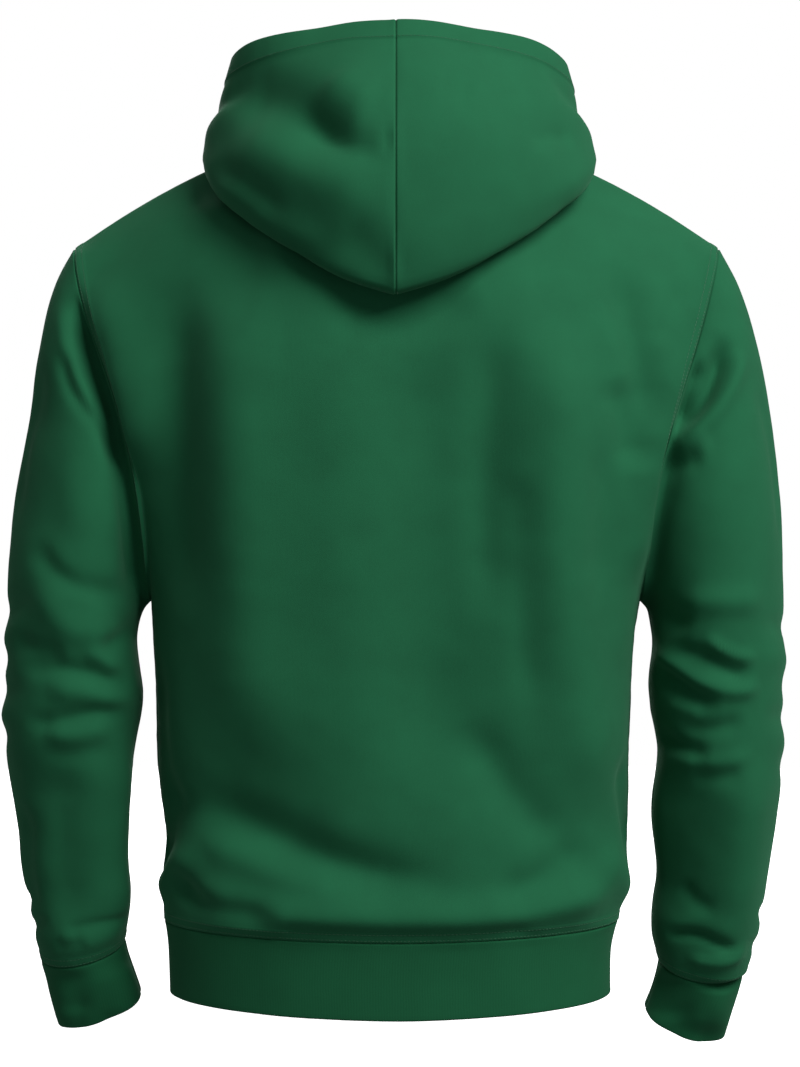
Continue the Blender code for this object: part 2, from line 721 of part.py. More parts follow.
def tape_sheet(side, front, band):
    """A strip behind the edge of a front and of the band below it, made from their own points."""
    name = "zip_tape_left" if side > 0 else "zip_tape_right"
    edge = 0 if side > 0 else -1
    columns = band.points[:, (edge, 1 if side > 0 else -2)]
    rows = np.concatenate([front.points[:-1, :2], columns])
    normals = np.concatenate([front.normals[:-1, :2], band.normals[:, (edge, 1 if side > 0 else -2)]])
    behind = np.full(len(rows), RIB)
    behind[: len(front.points) - 2] = FLEECE
    first = rows[:, 0].copy()
    slope = (rows[:, 1] - first) / np.abs(rows[:, 1, 0] - first[:, 0])[:, None]
    middle = first.copy()
    inner = first.copy()
    inner[:, 0] = side * TAPE_INNER
    outer = first + slope * (TAPE_OUTER - np.abs(first[:, 0]))[:, None]
    strip = np.stack([inner, middle, outer], axis=1)
    ways = np.repeat(normals[:, :1], 3, axis=1)
    ways[..., 0] = 0
    strip -= unit(ways) * (behind + SEAM_GAP)[:, None, None]
    strip[0] += unit(strip[1] - strip[0]) * TAPE_TOP
    return Sheet(name, strip, TAPE, turned=side > 0)


def zip_frame(front):
    """Where the pull tab turns: across, up along the zip and out of it."""
    top = Vector(front.points[0, 0])
    below = Vector(front.points[1, 0])
    top.x = below.x = 0
    up = (top - below).normalized()
    out = Vector((1, 0, 0)).cross(up)
    middle = top - up * SLIDER_DOWN
    turned = Matrix((Vector((1, 0, 0)), up, out)).transposed().to_4x4()
    return Matrix.Translation(middle) @ turned


def block(mesh, low, high):
    """A box between two corners."""
    low = Vector(low)
    high = Vector(high)
    made = bmesh.ops.create_cube(mesh, size=1)
    bmesh.ops.scale(mesh, vec=high - low, verts=made["verts"])
    bmesh.ops.translate(mesh, vec=(low + high) / 2, verts=made["verts"])
    return made["verts"]


def helper(name, mesh):
    data = bpy.data.meshes.new(name)
    mesh.to_mesh(data)
    mesh.free()
    made = bpy.data.objects.new(name, data)
    made.hide_render = True
    made.display_type = "WIRE"
    bpy.context.scene.collection.objects.link(made)
    return made


def combine(made, other, operation):
    modifier = made.modifiers.new(other.name, "BOOLEAN")
    modifier.operation = operation
    modifier.object = other


def prism(mesh, outline, half_width):
    """An outline of (along, out) points, extruded both ways across."""
    verts = [mesh.verts.new((-half_width, along, out)) for along, out in outline]
    face = mesh.faces.new(verts)
    made = bmesh.ops.extrude_face_region(mesh, geom=[face])
    moved = [vert for vert in made["geom"] if isinstance(vert, bmesh.types.BMVert)]
    bmesh.ops.translate(mesh, vec=(2 * half_width, 0, 0), verts=moved)
    bmesh.ops.recalc_face_normals(mesh, faces=mesh.faces)


def bevel_all(mesh, width):
    bmesh.ops.bevel(
        mesh, geom=mesh.edges[:], offset=width, segments=2, profile=0.5, affect="EDGES", material=-1
    )


def slider(place, metal):
    """Two plates round the teeth, a post that parts the tapes, and a bridge for the pull tab."""
    tape_middle = -(FLEECE + SEAM_GAP + TAPE / 2)
    front_low = tape_middle + TEETH_HALF_THICKNESS + SLIDER_CLEARANCE
    front_high = front_low + SLIDER_FRONT
    back_high = tape_middle - TEETH_HALF_THICKNESS - SLIDER_CLEARANCE
    back_low = back_high - SLIDER_BACK
    half = SLIDER_LENGTH / 2
    mesh = bmesh.new()
    block(mesh, (-SLIDER_HALF_WIDTH, -half, front_low), (SLIDER_HALF_WIDTH, half, front_high))
    bevel_all(mesh, SLIDER_BEVEL)
    made = piece("zip_slider", mesh, metal)
    made.matrix_world = place
    plate = bmesh.new()
    block(plate, (-SLIDER_HALF_WIDTH, -half, back_low), (SLIDER_HALF_WIDTH, half, back_high))
    bevel_all(plate, PLATE_BEVEL)
    post = bmesh.new()
    post_end = half - SLIDER_POST_LENGTH
    block(
        post,
        (-SLIDER_POST_HALF_WIDTH, post_end, back_low + JOIN_DEPTH),
        (SLIDER_POST_HALF_WIDTH, half - SLIDER_POST_INSET, front_high - JOIN_DEPTH),
    )
    bridge = bmesh.new()
    pin = front_high + PIN_LIFT
    turns = np.linspace(0, math.pi, 9)
    foot = front_high - JOIN_DEPTH
    outline = [(BRIDGE_OUTER, foot)]
    outline += [(BRIDGE_OUTER * math.cos(t), pin + BRIDGE_OUTER * math.sin(t)) for t in turns]
    outline += [(-BRIDGE_OUTER, foot), (-BRIDGE_INNER, foot)]
    outline += [(-BRIDGE_INNER * math.cos(t), pin + BRIDGE_INNER * math.sin(t)) for t in turns]
    outline += [(BRIDGE_INNER, foot)]
    prism(bridge, outline, BRIDGE_HALF_WIDTH)
    for name, shape in (("slider_plate", plate), ("slider_post", post), ("slider_bridge", bridge)):
        other = helper(name, shape)
        other.matrix_world = place
        combine(made, other, "UNION")
    return place @ Matrix.Translation((0, 0, pin))


def pull_tab(place, metal):
    """A flat tab that hangs on the slider's bridge by the bar across the top of its window."""
    bar = TAB_THICKNESS / 2
    start = TAB_LENGTH - TAB_HALF_WIDTH * TAB_TAPER
    turns = np.linspace(0, math.pi, 9)
    narrow = TAB_HALF_WIDTH * TAB_TAPER
    outline = [(TAB_HALF_WIDTH, bar)]
    outline += [(narrow * math.cos(t), -start - narrow * math.sin(t)) for t in turns]
    outline += [(-TAB_HALF_WIDTH, bar)]
    mesh = bmesh.new()
    verts = [mesh.verts.new((across, along, -bar)) for across, along in outline]
    made = bmesh.ops.extrude_face_region(mesh, geom=[mesh.faces.new(verts)])
    moved = [vert for vert in made["geom"] if isinstance(vert, bmesh.types.BMVert)]
    bmesh.ops.translate(mesh, vec=(0, 0, TAB_THICKNESS), verts=moved)
    bmesh.ops.recalc_face_normals(mesh, faces=mesh.faces)
    tab = piece("zip_pull_tab", mesh, metal)
    tab.matrix_world = place
    window = bmesh.new()
    block(
        window,
        (-TAB_WINDOW_HALF_WIDTH, -TAB_WINDOW_END, -TAB_THICKNESS),
        (TAB_WINDOW_HALF_WIDTH, -bar, TAB_THICKNESS),
    )
    cutter = helper("tab_window", window)
    cutter.matrix_world = place
    combine(tab, cutter, "DIFFERENCE")


def main():
    clear_scene()
    fleece = material("fleece", GREEN, 0.95)
    rib = material("rib", RIB_GREEN, 0.92)
    tape = material("zip_tape", TAPE_GREEN, 0.85)
    metal = material("zip_metal", METAL, 0.3, 1.0)
    body = body_sheets()
    sheets = body + sleeve_sheets() + hood_sheets()
    share_seams(sheets)
    fronts = {sheet.name: sheet for sheet in body}
    for side, name in ((1, "front_left"), (-1, "front_right")):
        cloth(tape_sheet(side, fronts[name], fronts["hem_band"]), tape)
    for sheet in sheets:
        cloth(sheet, rib if sheet.thickness == RIB else fleece)
    hinge = slider(zip_frame(fronts["front_left"]), metal)
    pull_tab(hinge, metal)


main()
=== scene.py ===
"""The looks of a zip-up hoodie of brushed fleece, filled out as if worn, with its hood down.

Metres, +Z up, the front towards -Y and the wearer's left towards +X, as in the solid model. Every
piece of cloth starts as the coarse grid of its solid and is drawn again on a fine one, with its
creases, seams and rolled edges. Tables are in millimetres and are turned into metres as they are read.
"""

import logging
import math
from dataclasses import dataclass, field
from enum import Enum
from typing import NamedTuple, Sequence

import bmesh
import bpy
import numpy as np
from mathutils import Matrix, Vector, noise


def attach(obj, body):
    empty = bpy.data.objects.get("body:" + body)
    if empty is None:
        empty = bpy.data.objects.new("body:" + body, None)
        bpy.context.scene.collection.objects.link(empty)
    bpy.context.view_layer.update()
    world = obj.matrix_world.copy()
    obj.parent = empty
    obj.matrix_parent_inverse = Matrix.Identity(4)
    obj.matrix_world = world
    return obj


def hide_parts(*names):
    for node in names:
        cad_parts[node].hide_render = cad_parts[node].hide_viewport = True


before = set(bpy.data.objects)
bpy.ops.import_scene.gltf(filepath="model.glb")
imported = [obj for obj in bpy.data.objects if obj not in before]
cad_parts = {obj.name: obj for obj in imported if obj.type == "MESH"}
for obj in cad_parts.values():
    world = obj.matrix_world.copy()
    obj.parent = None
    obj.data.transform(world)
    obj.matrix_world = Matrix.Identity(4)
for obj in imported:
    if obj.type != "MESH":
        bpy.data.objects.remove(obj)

Colour = tuple[float, float, float]
Place = tuple[float, float, float]
Key = tuple[int, ...]
Socket = bpy.types.NodeSocket

LOG = logging.getLogger("hoodie")
MM = 0.001
BODY = "garment"
CLOTH_MAP = "cloth"


class Side(Enum):
    """The wearer's left or right, as the sign of X."""

    LEFT = 1
    RIGHT = -1


class Facing(Enum):
    """Which way the cloth under a crease faces: the number of the axis, and its sign."""

    BACK = (1, 1)
    FRONT = (1, -1)
    LEFT = (0, 1)
    RIGHT = (0, -1)


class Row(NamedTuple):
    """A size in millimetres at one height, for the wearer's left and right."""

    z: float
    left: float
    right: float


class Depth(NamedTuple):
    """How far the body reaches towards +Y at one height."""

    z: float
    y: float


class Section(NamedTuple):
    """A ring across a sleeve: two points seen from behind, its middle and depth, and the back's drop."""

    outer_x: float
    outer_z: float
    inner_x: float
    inner_z: float
    y: float
    half_depth: float
    drop: float


class HoodColumn(NamedTuple):
    """The hood at one turn from the middle of the back: distances out from the neck, and heights."""

    degrees: float
    turn: float
    turn_z: float
    under: float
    under_z: float
    fold: float
    fold_z: float
    bulge: float
    bulge_z: float
    cheek: float
    cheek_z: float
    edge: float
    edge_z: float


class Crease(NamedTuple):
    """A trough, or a ridge where the depth is negative, along a path seen along X or Y."""

    width: float
    depth: float
    path: tuple[tuple[float, float], ...]


def records(kind: type, *rows: tuple[float, ...]) -> tuple:
    """Rows of numbers as records of one kind."""
    return tuple(kind(*row) for row in rows)


def creases(*rows: tuple) -> tuple[Crease, ...]:
    """Creases from rows of a width, a depth and the points of the path."""
    return tuple(Crease(row[0], row[1], row[2:]) for row in rows)


def unit(vectors: np.ndarray) -> np.ndarray:
    """Vectors brought to length 1."""
    return vectors / np.maximum(np.linalg.norm(vectors, axis=-1, keepdims=True), 1e-12)


def ease(t: np.ndarray) -> np.ndarray:
    """A smooth step from 0 to 1."""
    t = np.clip(t, 0, 1)
    return t * t * (3 - 2 * t)


def spline(knots: Sequence[float], values: np.ndarray, at: Sequence[float]) -> np.ndarray:
    """Reads the natural cubic curve through values.

    Args:
        knots: Where the values lie, rising.
        values: One row of numbers for each knot.
        at: The places to read.

    Returns:
        One row of numbers for each place.
    """
    knots = np.asarray(knots, float)
    values = np.asarray(values, float).reshape(len(knots), -1)
    at = np.asarray(at, float)
    gaps = np.diff(knots)
    matrix = np.eye(len(knots))
    right = np.zeros_like(values)
    slopes = np.diff(values, axis=0) / gaps[:, None]
    for i in range(1, len(knots) - 1):
        matrix[i, i - 1 : i + 2] = gaps[i - 1], 2 * (gaps[i - 1] + gaps[i]), gaps[i]
        right[i] = 6 * (slopes[i] - slopes[i - 1])
    bend = np.linalg.solve(matrix, right)
    i = np.clip(np.searchsorted(knots, at) - 1, 0, len(knots) - 2)
    gap = gaps[i][:, None]
    after = at[:, None] - knots[i][:, None]
    before = gap - after
    found = (bend[i] * before**3 + bend[i + 1] * after**3) / (6 * gap)
    found += (values[i] / gap - bend[i] * gap / 6) * before
    found += (values[i + 1] / gap - bend[i + 1] * gap / 6) * after
    return found


def at_height(table: Sequence[NamedTuple], column: str, z: float | np.ndarray) -> np.ndarray:
    """Reads a column of a table that runs downwards.

    Args:
        table: Rows with a z, in millimetres.
        column: The name of the column.
        z: Heights in metres.

    Returns:
        The column's sizes at those heights, in metres.
    """
    knots = [-row.z * MM for row in table]
    values = [getattr(row, column) * MM for row in table]
    return spline(knots, np.array(values), -np.atleast_1d(z))[:, 0]


def run_length(points: np.ndarray, axis: int = 0) -> np.ndarray:
    """Measures each line along one axis of a grid of points.

    Args:
        points: The grid, with the places in its last axis.
        axis: The axis that the lines run along.

    Returns:
        The distance of every point from the first one of its line.
    """
    steps = np.linalg.norm(np.diff(points, axis=axis), axis=-1)
    start = np.zeros_like(np.take(steps, [0], axis=axis))
    return np.concatenate([start, np.cumsum(steps, axis=axis)], axis=axis)


def read_at(length: float, run: np.ndarray, values: np.ndarray) -> Vector:
    """The place or way at a length along a line."""
    return Vector([float(np.interp(length, run, values[:, axis])) for axis in range(3)])


def mesh_data(name: str, mesh: bmesh.types.BMesh) -> bpy.types.Mesh:
    """Makes mesh data from a bmesh.

    Args:
        name: The data's name.
        mesh: The shape, which is freed.

    Returns:
        The new mesh data.
    """
    data = bpy.data.meshes.new(name)
    mesh.to_mesh(data)
    mesh.free()
    return data


def linked(name: str, data: bpy.types.ID) -> bpy.types.Object:
    """Makes an object of some data and puts it into the scene.

    Args:
        name: The object's name.
        data: Its mesh, light or camera.

    Returns:
        The new object.
    """
    made = bpy.data.objects.new(name, data)
    bpy.context.scene.collection.objects.link(made)
    return made


def stamp(mesh: bmesh.types.BMesh, shape: bpy.types.Mesh, place: Matrix) -> None:
    """Adds a copy of a small shape to a bmesh.

    Args:
        mesh: The bmesh that gets the copy.
        shape: The shape in its own frame.
        place: Where it goes.
    """
    before = len(mesh.verts)
    mesh.from_mesh(shape)
    mesh.verts.ensure_lookup_table()
    bmesh.ops.transform(mesh, matrix=place, verts=mesh.verts[before:])


def garment_piece(name: str, mesh: bmesh.types.BMesh, finishes: Sequence["Finish"]) -> bpy.types.Object:
    """Makes a piece of the garment from a bmesh, dresses it and lets it ride on the body.

    Args:
        name: The piece's name.
        mesh: Its shape, which is freed.
        finishes: One finish for each material index.

    Returns:
        The new object.
    """
    data = mesh_data(name, mesh)
    data.shade_smooth()
    for finish in finishes:
        data.materials.append(finish.material())
    made = linked(name, data)
    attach(made, BODY)
    LOG.info("%s: %d faces", name, len(data.polygons))
    return made


# In millimetres: how deep and wide a needle's line is, how softly a ridge ends, and where the fine grid
# has lines, counted from a rolled or flat edge, from a needle's line and from the end of a ridge.
NEEDLE_DEPTH = 0.26
NEEDLE_WIDTH = 0.75
RIDGE_FALL = 1.6
ROLLED_PLACES = (0.0, 0.12, 0.45, 1.0, 1.7)
FLAT_PLACES = (0.0, 0.6, 1.2, 1.9)
NEEDLE_PLACES = (-0.7, 0.0, 0.7)
RIDGE_PLACES = (-0.7, 0.5, 1.9)
CLOSEST_AT_EDGE = 0.1
CLOSEST = 0.35


@dataclass(frozen=True)
class SeamForm:
    """The relief beside an edge, with distances from the edge in millimetres.

    The edge is drawn in by sink over sink_width, the cloth lies raised over the allowance as far as
    ridge_end, and each needle's line is pressed in. A rolled edge is rounded over its thickness.
    """

    sink: float = 0.0
    sink_width: float = 1.4
    ridge: float = 0.0
    ridge_end: float = 5.0
    needles: tuple[float, ...] = ()
    rolled: bool = False
    pucker: float = 0.0

    def places(self) -> list[float]:
        """Picks the lines that the fine grid needs beside the edge.

        Returns:
            Distances from the edge, in metres.
        """
        near = list(ROLLED_PLACES if self.rolled else FLAT_PLACES)
        near += [needle + step for needle in self.needles for step in NEEDLE_PLACES]
        if self.ridge:
            near += [self.ridge_end + step for step in RIDGE_PLACES]
        kept: list[float] = []
        for place in sorted(near, key=lambda value: (value not in self.needles, value)):
            if all(abs(place - other) > (CLOSEST_AT_EDGE if place < 1 else CLOSEST) for other in kept):
                kept.append(place)
        return [place * MM for place in sorted(kept)]

    def lift(self, distance: np.ndarray) -> np.ndarray:
        """Works out how far the cloth is moved out.

        Args:
            distance: Distances from the edge, in metres.

        Returns:
            The move out at each distance, in metres.
        """
        d = distance / MM
        height = -self.sink * np.exp(-((d / self.sink_width) ** 2))
        if self.ridge:
            height = height + self.ridge * (1 - ease((d - self.ridge_end) / RIDGE_FALL + 0.5))
        for needle in self.needles:
            height = height - NEEDLE_DEPTH * np.exp(-(((d - needle) / NEEDLE_WIDTH) ** 2))
        return height * MM


class Edge(Enum):
    """How an edge of a piece of cloth is finished."""

    OPEN = SeamForm()
    SEAM = SeamForm(sink=1.3, sink_width=0.75, pucker=0.12)
    TWIN = SeamForm(sink=1.3, sink_width=0.85, ridge=0.6, ridge_end=8.2, needles=(1.9, 7.0), pucker=0.26)
    ROLLED = SeamForm(rolled=True)
    ZIP = SeamForm(rolled=True, ridge=0.7, ridge_end=10.4, needles=(2.4, 9.0), pucker=0.18)
    CASING = SeamForm(rolled=True, ridge=1.3, ridge_end=18.6, needles=(17.6,), pucker=0.2)


class Stuff(Enum):
    """What a piece is cut from, as its thickness."""

    FLEECE = 2.4 * MM
    RIB = 3.2 * MM
    TAPE = 1.0 * MM


class Held(Enum):
    """How a piece of cloth is held."""

    HUNG = "hung"
    GATHERED = "gathered"
    STRETCHED = "stretched"


@dataclass(frozen=True)
class Cut:
    """What a kind of piece is cut from, its top, bottom, first and last edges, and its flat size.

    A panel is one whose top part borders the armhole and whose lower part borders the side seam.
    """

    stuff: Stuff
    edges: tuple[Edge, ...]
    flat: tuple[float, float]
    held: Held
    area: float | None = None
    panel: bool = False


class Kind(Enum):
    """The kinds of piece that the garment is cut into."""

    BACK = Cut(
        Stuff.FLEECE, (Edge.SEAM, Edge.TWIN, Edge.TWIN, Edge.TWIN), (0.56, 0.66), Held.HUNG, panel=True
    )
    FRONT = Cut(
        Stuff.FLEECE, (Edge.SEAM, Edge.TWIN, Edge.ZIP, Edge.TWIN), (0.30, 0.62), Held.HUNG, panel=True
    )
    BAND = Cut(Stuff.RIB, (Edge.SEAM, Edge.ROLLED, Edge.ROLLED, Edge.ROLLED), (1.0, 0.062), Held.STRETCHED)
    SLEEVE = Cut(Stuff.FLEECE, (Edge.SEAM, Edge.TWIN, Edge.SEAM, Edge.SEAM), (0.50, 0.60), Held.HUNG, 0.165)
    CUFF = Cut(Stuff.RIB, (Edge.SEAM, Edge.ROLLED, Edge.SEAM, Edge.SEAM), (0.22, 0.062), Held.STRETCHED)
    HOOD = Cut(Stuff.FLEECE, (Edge.SEAM, Edge.CASING, Edge.SEAM, Edge.ROLLED), (0.36, 0.32), Held.GATHERED)
    TAPE = Cut(Stuff.TAPE, (Edge.OPEN,) * 4, (0.016, 0.64), Held.STRETCHED)


@dataclass
class Pattern:
    """A piece's coarse grid: rows by columns of points on its right side, and the way out at each."""

    points: np.ndarray
    turned: bool = False
    closed: bool = False
    ways: np.ndarray = field(init=False)

    def __post_init__(self) -> None:
        """Works out the ways out from the points."""
        self.face()

    def face(self) -> None:
        """Works the ways out of the right side out again after the points have moved."""
        down = np.gradient(self.points, axis=0)
        if self.closed:
            across = np.roll(self.points, -1, axis=1) - np.roll(self.points, 1, axis=1)
        else:
            across = np.gradient(self.points, axis=1)
        self.ways = unit(np.cross(across, down)) * (-1 if self.turned else 1)

    def borders(self) -> list[list[tuple[int, int]]]:
        """Lists the places along each side of the grid.

        Returns:
            One list of rows and columns for each side, in order along it.
        """
        rows, columns = self.points.shape[:2]
        across = list(range(columns)) + ([0] if self.closed else [])
        found = [[(row, column) for column in across] for row in (0, rows - 1)]
        if not self.closed:
            found += [[(row, column) for row in range(rows)] for column in (0, columns - 1)]
        return found

    def even(self, times: int) -> None:
        """Evens out the inner points and leaves the border.

        Args:
            times: How often each point moves halfway to the middle of its neighbours.
        """
        for _ in range(times):
            grid = np.pad(self.points, ((0, 0), (1, 1), (0, 0)), "edge")
            middle = (grid[1:-1, :-2] + grid[1:-1, 2:] + self.points[:-2] + self.points[2:]) / 4
            self.points[1:-1, 1:-1] += 0.5 * (middle[:, 1:-1] - self.points[1:-1, 1:-1])
        self.face()


def share_ways(patterns: Sequence[Pattern], evening: int, nearest: float) -> None:
    """Gives points that patterns have in common one way out, evened along the seams.

    Args:
        patterns: The pieces that are sewn together.
        evening: How many times the ways are evened.
        nearest: Points closer than this are one point.
    """
    meeting: dict[Key, set[tuple[int, Key]]] = {}
    beside: dict[Key, set[Key]] = {}
    for number, pattern in enumerate(patterns):
        for border in pattern.borders():
            keys = [tuple(np.round(pattern.points[place] / nearest).astype(int)) for place in border]
            for place, key in zip(border, keys):
                meeting.setdefault(key, set()).add((number, place))
            for one, other in zip(keys[:-1], keys[1:]):
                beside.setdefault(one, set()).add(other)
                beside.setdefault(other, set()).add(one)
    shared = {key: sorted(group) for key, group in meeting.items() if len({owner for owner, _ in group}) > 1}
    ways = {}
    for key, group in shared.items():
        ways[key] = unit(sum(patterns[number].ways[place] for number, place in group))
    for _ in range(evening):
        evened = {}
        for key, way in ways.items():
            around = [ways[other] for other in sorted(beside[key]) if other in ways] or [way]
            evened[key] = unit(way + np.mean(around, axis=0))
        ways = evened
    for key, group in shared.items():
        for number, place in group:
            patterns[number].ways[place] = ways[key]


@dataclass
class Cloth:
    """A piece of cloth on its solid's form, with creases, seams and edges, and its two faces dressed."""

    node: str
    pattern: Pattern
    cut: Cut
    outside: "Finish"
    inside: "Finish"
    corner: int | None = None
    seed: int = 0
    spacing: float = 3.2 * MM
    fine_steps: int = 24
    path_steps: int = 40
    facing_share: float = 0.55
    beyond_reach: float = 15 * MM
    fade_share: float = 0.35
    fade_widths: float = 3
    fade_start: float = 0.3
    held_reach: float = 8 * MM
    seam_reach: float = 6 * MM
    seam_change: float = 0.02
    pucker_reach: float = 9 * MM
    pucker_start: float = 2 * MM
    pucker_size: tuple[float, float] = (8.5 * MM, 16 * MM)
    pucker_shift: float = 5.7
    ripple_shift: tuple[float, float] = (7.3, 3.1)
    thinnest: float = 0.01
    points: np.ndarray = field(init=False)
    ways: np.ndarray = field(init=False)
    across: np.ndarray = field(init=False)
    down: np.ndarray = field(init=False)
    smooth: np.ndarray = field(init=False)

    @property
    def name(self) -> str:
        """The name of the piece and of its object."""
        return "cloth_" + self.node

    def __post_init__(self) -> None:
        """Draws the coarse grid again on a fine one."""
        top, bottom, first, last = (edge.value for edge in self.cut.edges)
        channels = np.concatenate([self.pattern.points, self.pattern.ways], axis=2)
        turned = self.finer(channels, top, bottom, self.corner).transpose(1, 0, 2)
        if self.pattern.closed:
            turned = np.concatenate([turned[-3:], turned, turned[:4]])
        wide = self.finer(turned, first, last, None, self.pattern.closed).transpose(1, 0, 2)
        self.points = wide[..., :3].copy()
        self.ways = unit(wide[..., 3:])
        self.across = run_length(self.points, 1)
        self.down = run_length(self.points, 0)
        self.smooth = self.points.copy()

    def finer(
        self, grid: np.ndarray, first: SeamForm, last: SeamForm, corner: int | None, wrapped: bool = False
    ) -> np.ndarray:
        """Resamples each line of a grid by its own length, with closer places beside its two edges.

        Args:
            grid: Rows by columns of channels, of which the first three are the place.
            first: The finish at the first row.
            last: The finish at the last row.
            corner: The row at which the border lines turn sharply, if they do.
            wrapped: Whether three rows from the other end of a closed grid lie before and after it.

        Returns:
            The grid with many more rows.
        """
        count = len(grid)
        low, high = (3, count - 4) if wrapped else (0, count - 1)
        dense = np.linspace(low, high, (high - low) * self.fine_steps + 1)
        fine = spline(range(count), grid.reshape(count, -1), dense).reshape(len(dense), *grid.shape[1:])
        if corner is not None:
            for column in (0, -1):
                upper = spline(range(corner + 1), grid[: corner + 1, column], dense[dense <= corner])
                lower = spline(range(corner, count), grid[corner:, column], dense[dense > corner])
                fine[:, column] = np.concatenate([upper, lower])
        run = run_length(fine[..., :3])
        start = np.array(first.places())
        end = np.array(last.places())
        middle = max(int(round((run[-1].mean() - start[-1] - end[-1]) / self.spacing)), 2)
        share = np.linspace(0, 1, middle + 1)[1:-1]
        made = np.empty((len(start) + len(share) + len(end), *grid.shape[1:]))
        for column in range(grid.shape[1]):
            total = run[-1, column]
            between = start[-1] + share * (total - start[-1] - end[-1])
            places = np.concatenate([start, between, total - end[::-1]])
            for channel in range(grid.shape[2]):
                made[:, column, channel] = np.interp(places, run[:, column], fine[:, column, channel])
        return made

    def edge_distances(self) -> list[np.ndarray]:
        """The distance of every point from the top, bottom, first and last edges."""
        return [self.down, self.down[-1:] - self.down, self.across, self.across[:, -1:] - self.across]

    def crease(
        self, creases: Sequence[Crease], facing: Facing, mirrored: bool = False, beyond: float | None = None
    ) -> None:
        """Presses creases into the cloth that faces one way.

        Args:
            creases: The creases, in millimetres on the two axes other than the one that is faced.
            facing: Which way the cloth faces.
            mirrored: Whether the creases are given for the other side of the body.
            beyond: How far from the upright axis the creases start, in metres; everywhere if left out.
        """
        axis, sign = facing.value
        flat = [0, 2] if axis == 1 else [1, 2]
        seen = ease(self.ways[..., axis] * sign / self.facing_share)
        if beyond is not None:
            out = np.linalg.norm(self.smooth[..., :2], axis=-1)
            seen = seen * ease((out - beyond) / self.beyond_reach)
        shift = np.zeros(self.points.shape[:2])
        for crease in creases:
            path = np.array(crease.path) * MM
            if mirrored:
                path = path * (-1, 1)
            knots = run_length(path)
            line = spline(knots, path, np.linspace(0, knots[-1], self.path_steps))
            shift += self.trough(self.smooth[..., flat], line, crease)
        self.points -= self.ways * (shift * seen * self.loose())[..., None]

    def trough(self, places: np.ndarray, line: np.ndarray, crease: Crease) -> np.ndarray:
        """Works out one crease, which fades towards both ends of its path.

        Args:
            places: The points seen along the axis that they face.
            line: The crease's path in the same plane, closely spaced.
            crease: Its width and depth.

        Returns:
            The depth at each place, in metres.
        """
        width = crease.width * MM
        tangent = unit(np.gradient(line, axis=0))
        run = run_length(line)
        nearest = np.full(places.shape[:2], np.inf)
        beside = np.zeros_like(nearest)
        along = np.zeros_like(nearest)
        for point, way, before in zip(line, tangent, run):
            away = places - point
            distance = (away**2).sum(axis=-1)
            closer = distance < nearest
            nearest = np.where(closer, distance, nearest)
            beside = np.where(closer, way[0] * away[..., 1] - way[1] * away[..., 0], beside)
            along = np.where(closer, before + (away * way).sum(axis=-1), along)
        past_end = np.sqrt(np.maximum(nearest - beside**2, 0)) * ((along <= 0) | (along >= run[-1]))
        reach = min(self.fade_share * run[-1], self.fade_widths * width)
        ends = ease(np.minimum(along, run[-1] - along) / reach + self.fade_start)
        depth = np.exp(-((np.hypot(beside, past_end) / width) ** 2))
        return depth * ends * crease.depth * MM

    def loose(self) -> np.ndarray:
        """Finds where the cloth is free to crease.

        Returns:
            0 on the edges that are held by a seam, rising to 1 away from them.
        """
        held = np.ones(self.points.shape[:2])
        for edge, distance in zip(self.cut.edges, self.edge_distances()):
            reach = self.seam_reach if edge is Edge.SEAM else self.held_reach
            if not edge.value.rolled:
                held = np.minimum(held, ease(distance / reach))
        return held

    def ripple(self, size: float, height: float, seed: int) -> None:
        """Makes the cloth a little uneven.

        Args:
            size: How far apart the swells are, in millimetres.
            height: How high they are, in millimetres.
            seed: Which of many such patterns.
        """
        by_swell, by_piece = self.ripple_shift
        offset = Vector((seed * by_swell, self.seed * by_piece, 0))
        scale = 1 / (size * MM)
        flat = self.smooth.reshape(-1, 3)
        swell = np.array([noise.noise(Vector(point) * scale + offset) for point in flat])
        swell = swell.reshape(self.points.shape[:2])
        self.points += self.ways * (swell * height * MM * self.loose())[..., None]

    def seam_shares(self) -> list[np.ndarray]:
        """Tells how much of each edge's own finish each point gets.

        Returns:
            Four arrays of shares, below 1 where a panel's side goes over from armhole to side seam.
        """
        rows = np.ones(self.points.shape[:2])
        if self.corner is None:
            return [rows] * 4
        reach = self.down[:, [0, -1]] / self.down[-1, [0, -1]]
        turn = self.corner / (len(self.pattern.points) - 1)
        sides = [ease((turn - reach[:, [side]]) / self.seam_change + 0.5) * rows for side in (0, 1)]
        return [rows, rows] + sides

    def pucker(self, number: int, distance: np.ndarray) -> np.ndarray:
        """Draws the small waves beside a seam.

        Args:
            number: Which of the four edges the seam is on.
            distance: Every point's distance from it.

        Returns:
            The waves, from -1 to 1.
        """
        along = self.across if number < 2 else self.down
        step, reach = self.pucker_size
        shift = self.seed + self.pucker_shift * number
        pairs = zip(along.ravel(), distance.ravel())
        wave = np.array([noise.noise(Vector((s / step, d / reach, shift))) for s, d in pairs])
        near = np.exp(-distance / self.pucker_reach) * ease(distance / self.pucker_start)
        return near * wave.reshape(distance.shape)

    def sew(self) -> None:
        """Raises, sinks and puckers the cloth beside its seams."""
        lift = np.zeros(self.points.shape[:2])
        shares = self.seam_shares()
        for number, (edge, distance) in enumerate(zip(self.cut.edges, self.edge_distances())):
            form = edge.value
            relief = form.lift(distance)
            if shares[number].min() < 1:
                relief = relief * shares[number] + Edge.SEAM.value.lift(distance) * (1 - shares[number])
            lift += relief
            if form.pucker:
                lift += 2 * form.pucker * MM * self.pucker(number, distance)
        self.points += self.ways * lift[..., None]

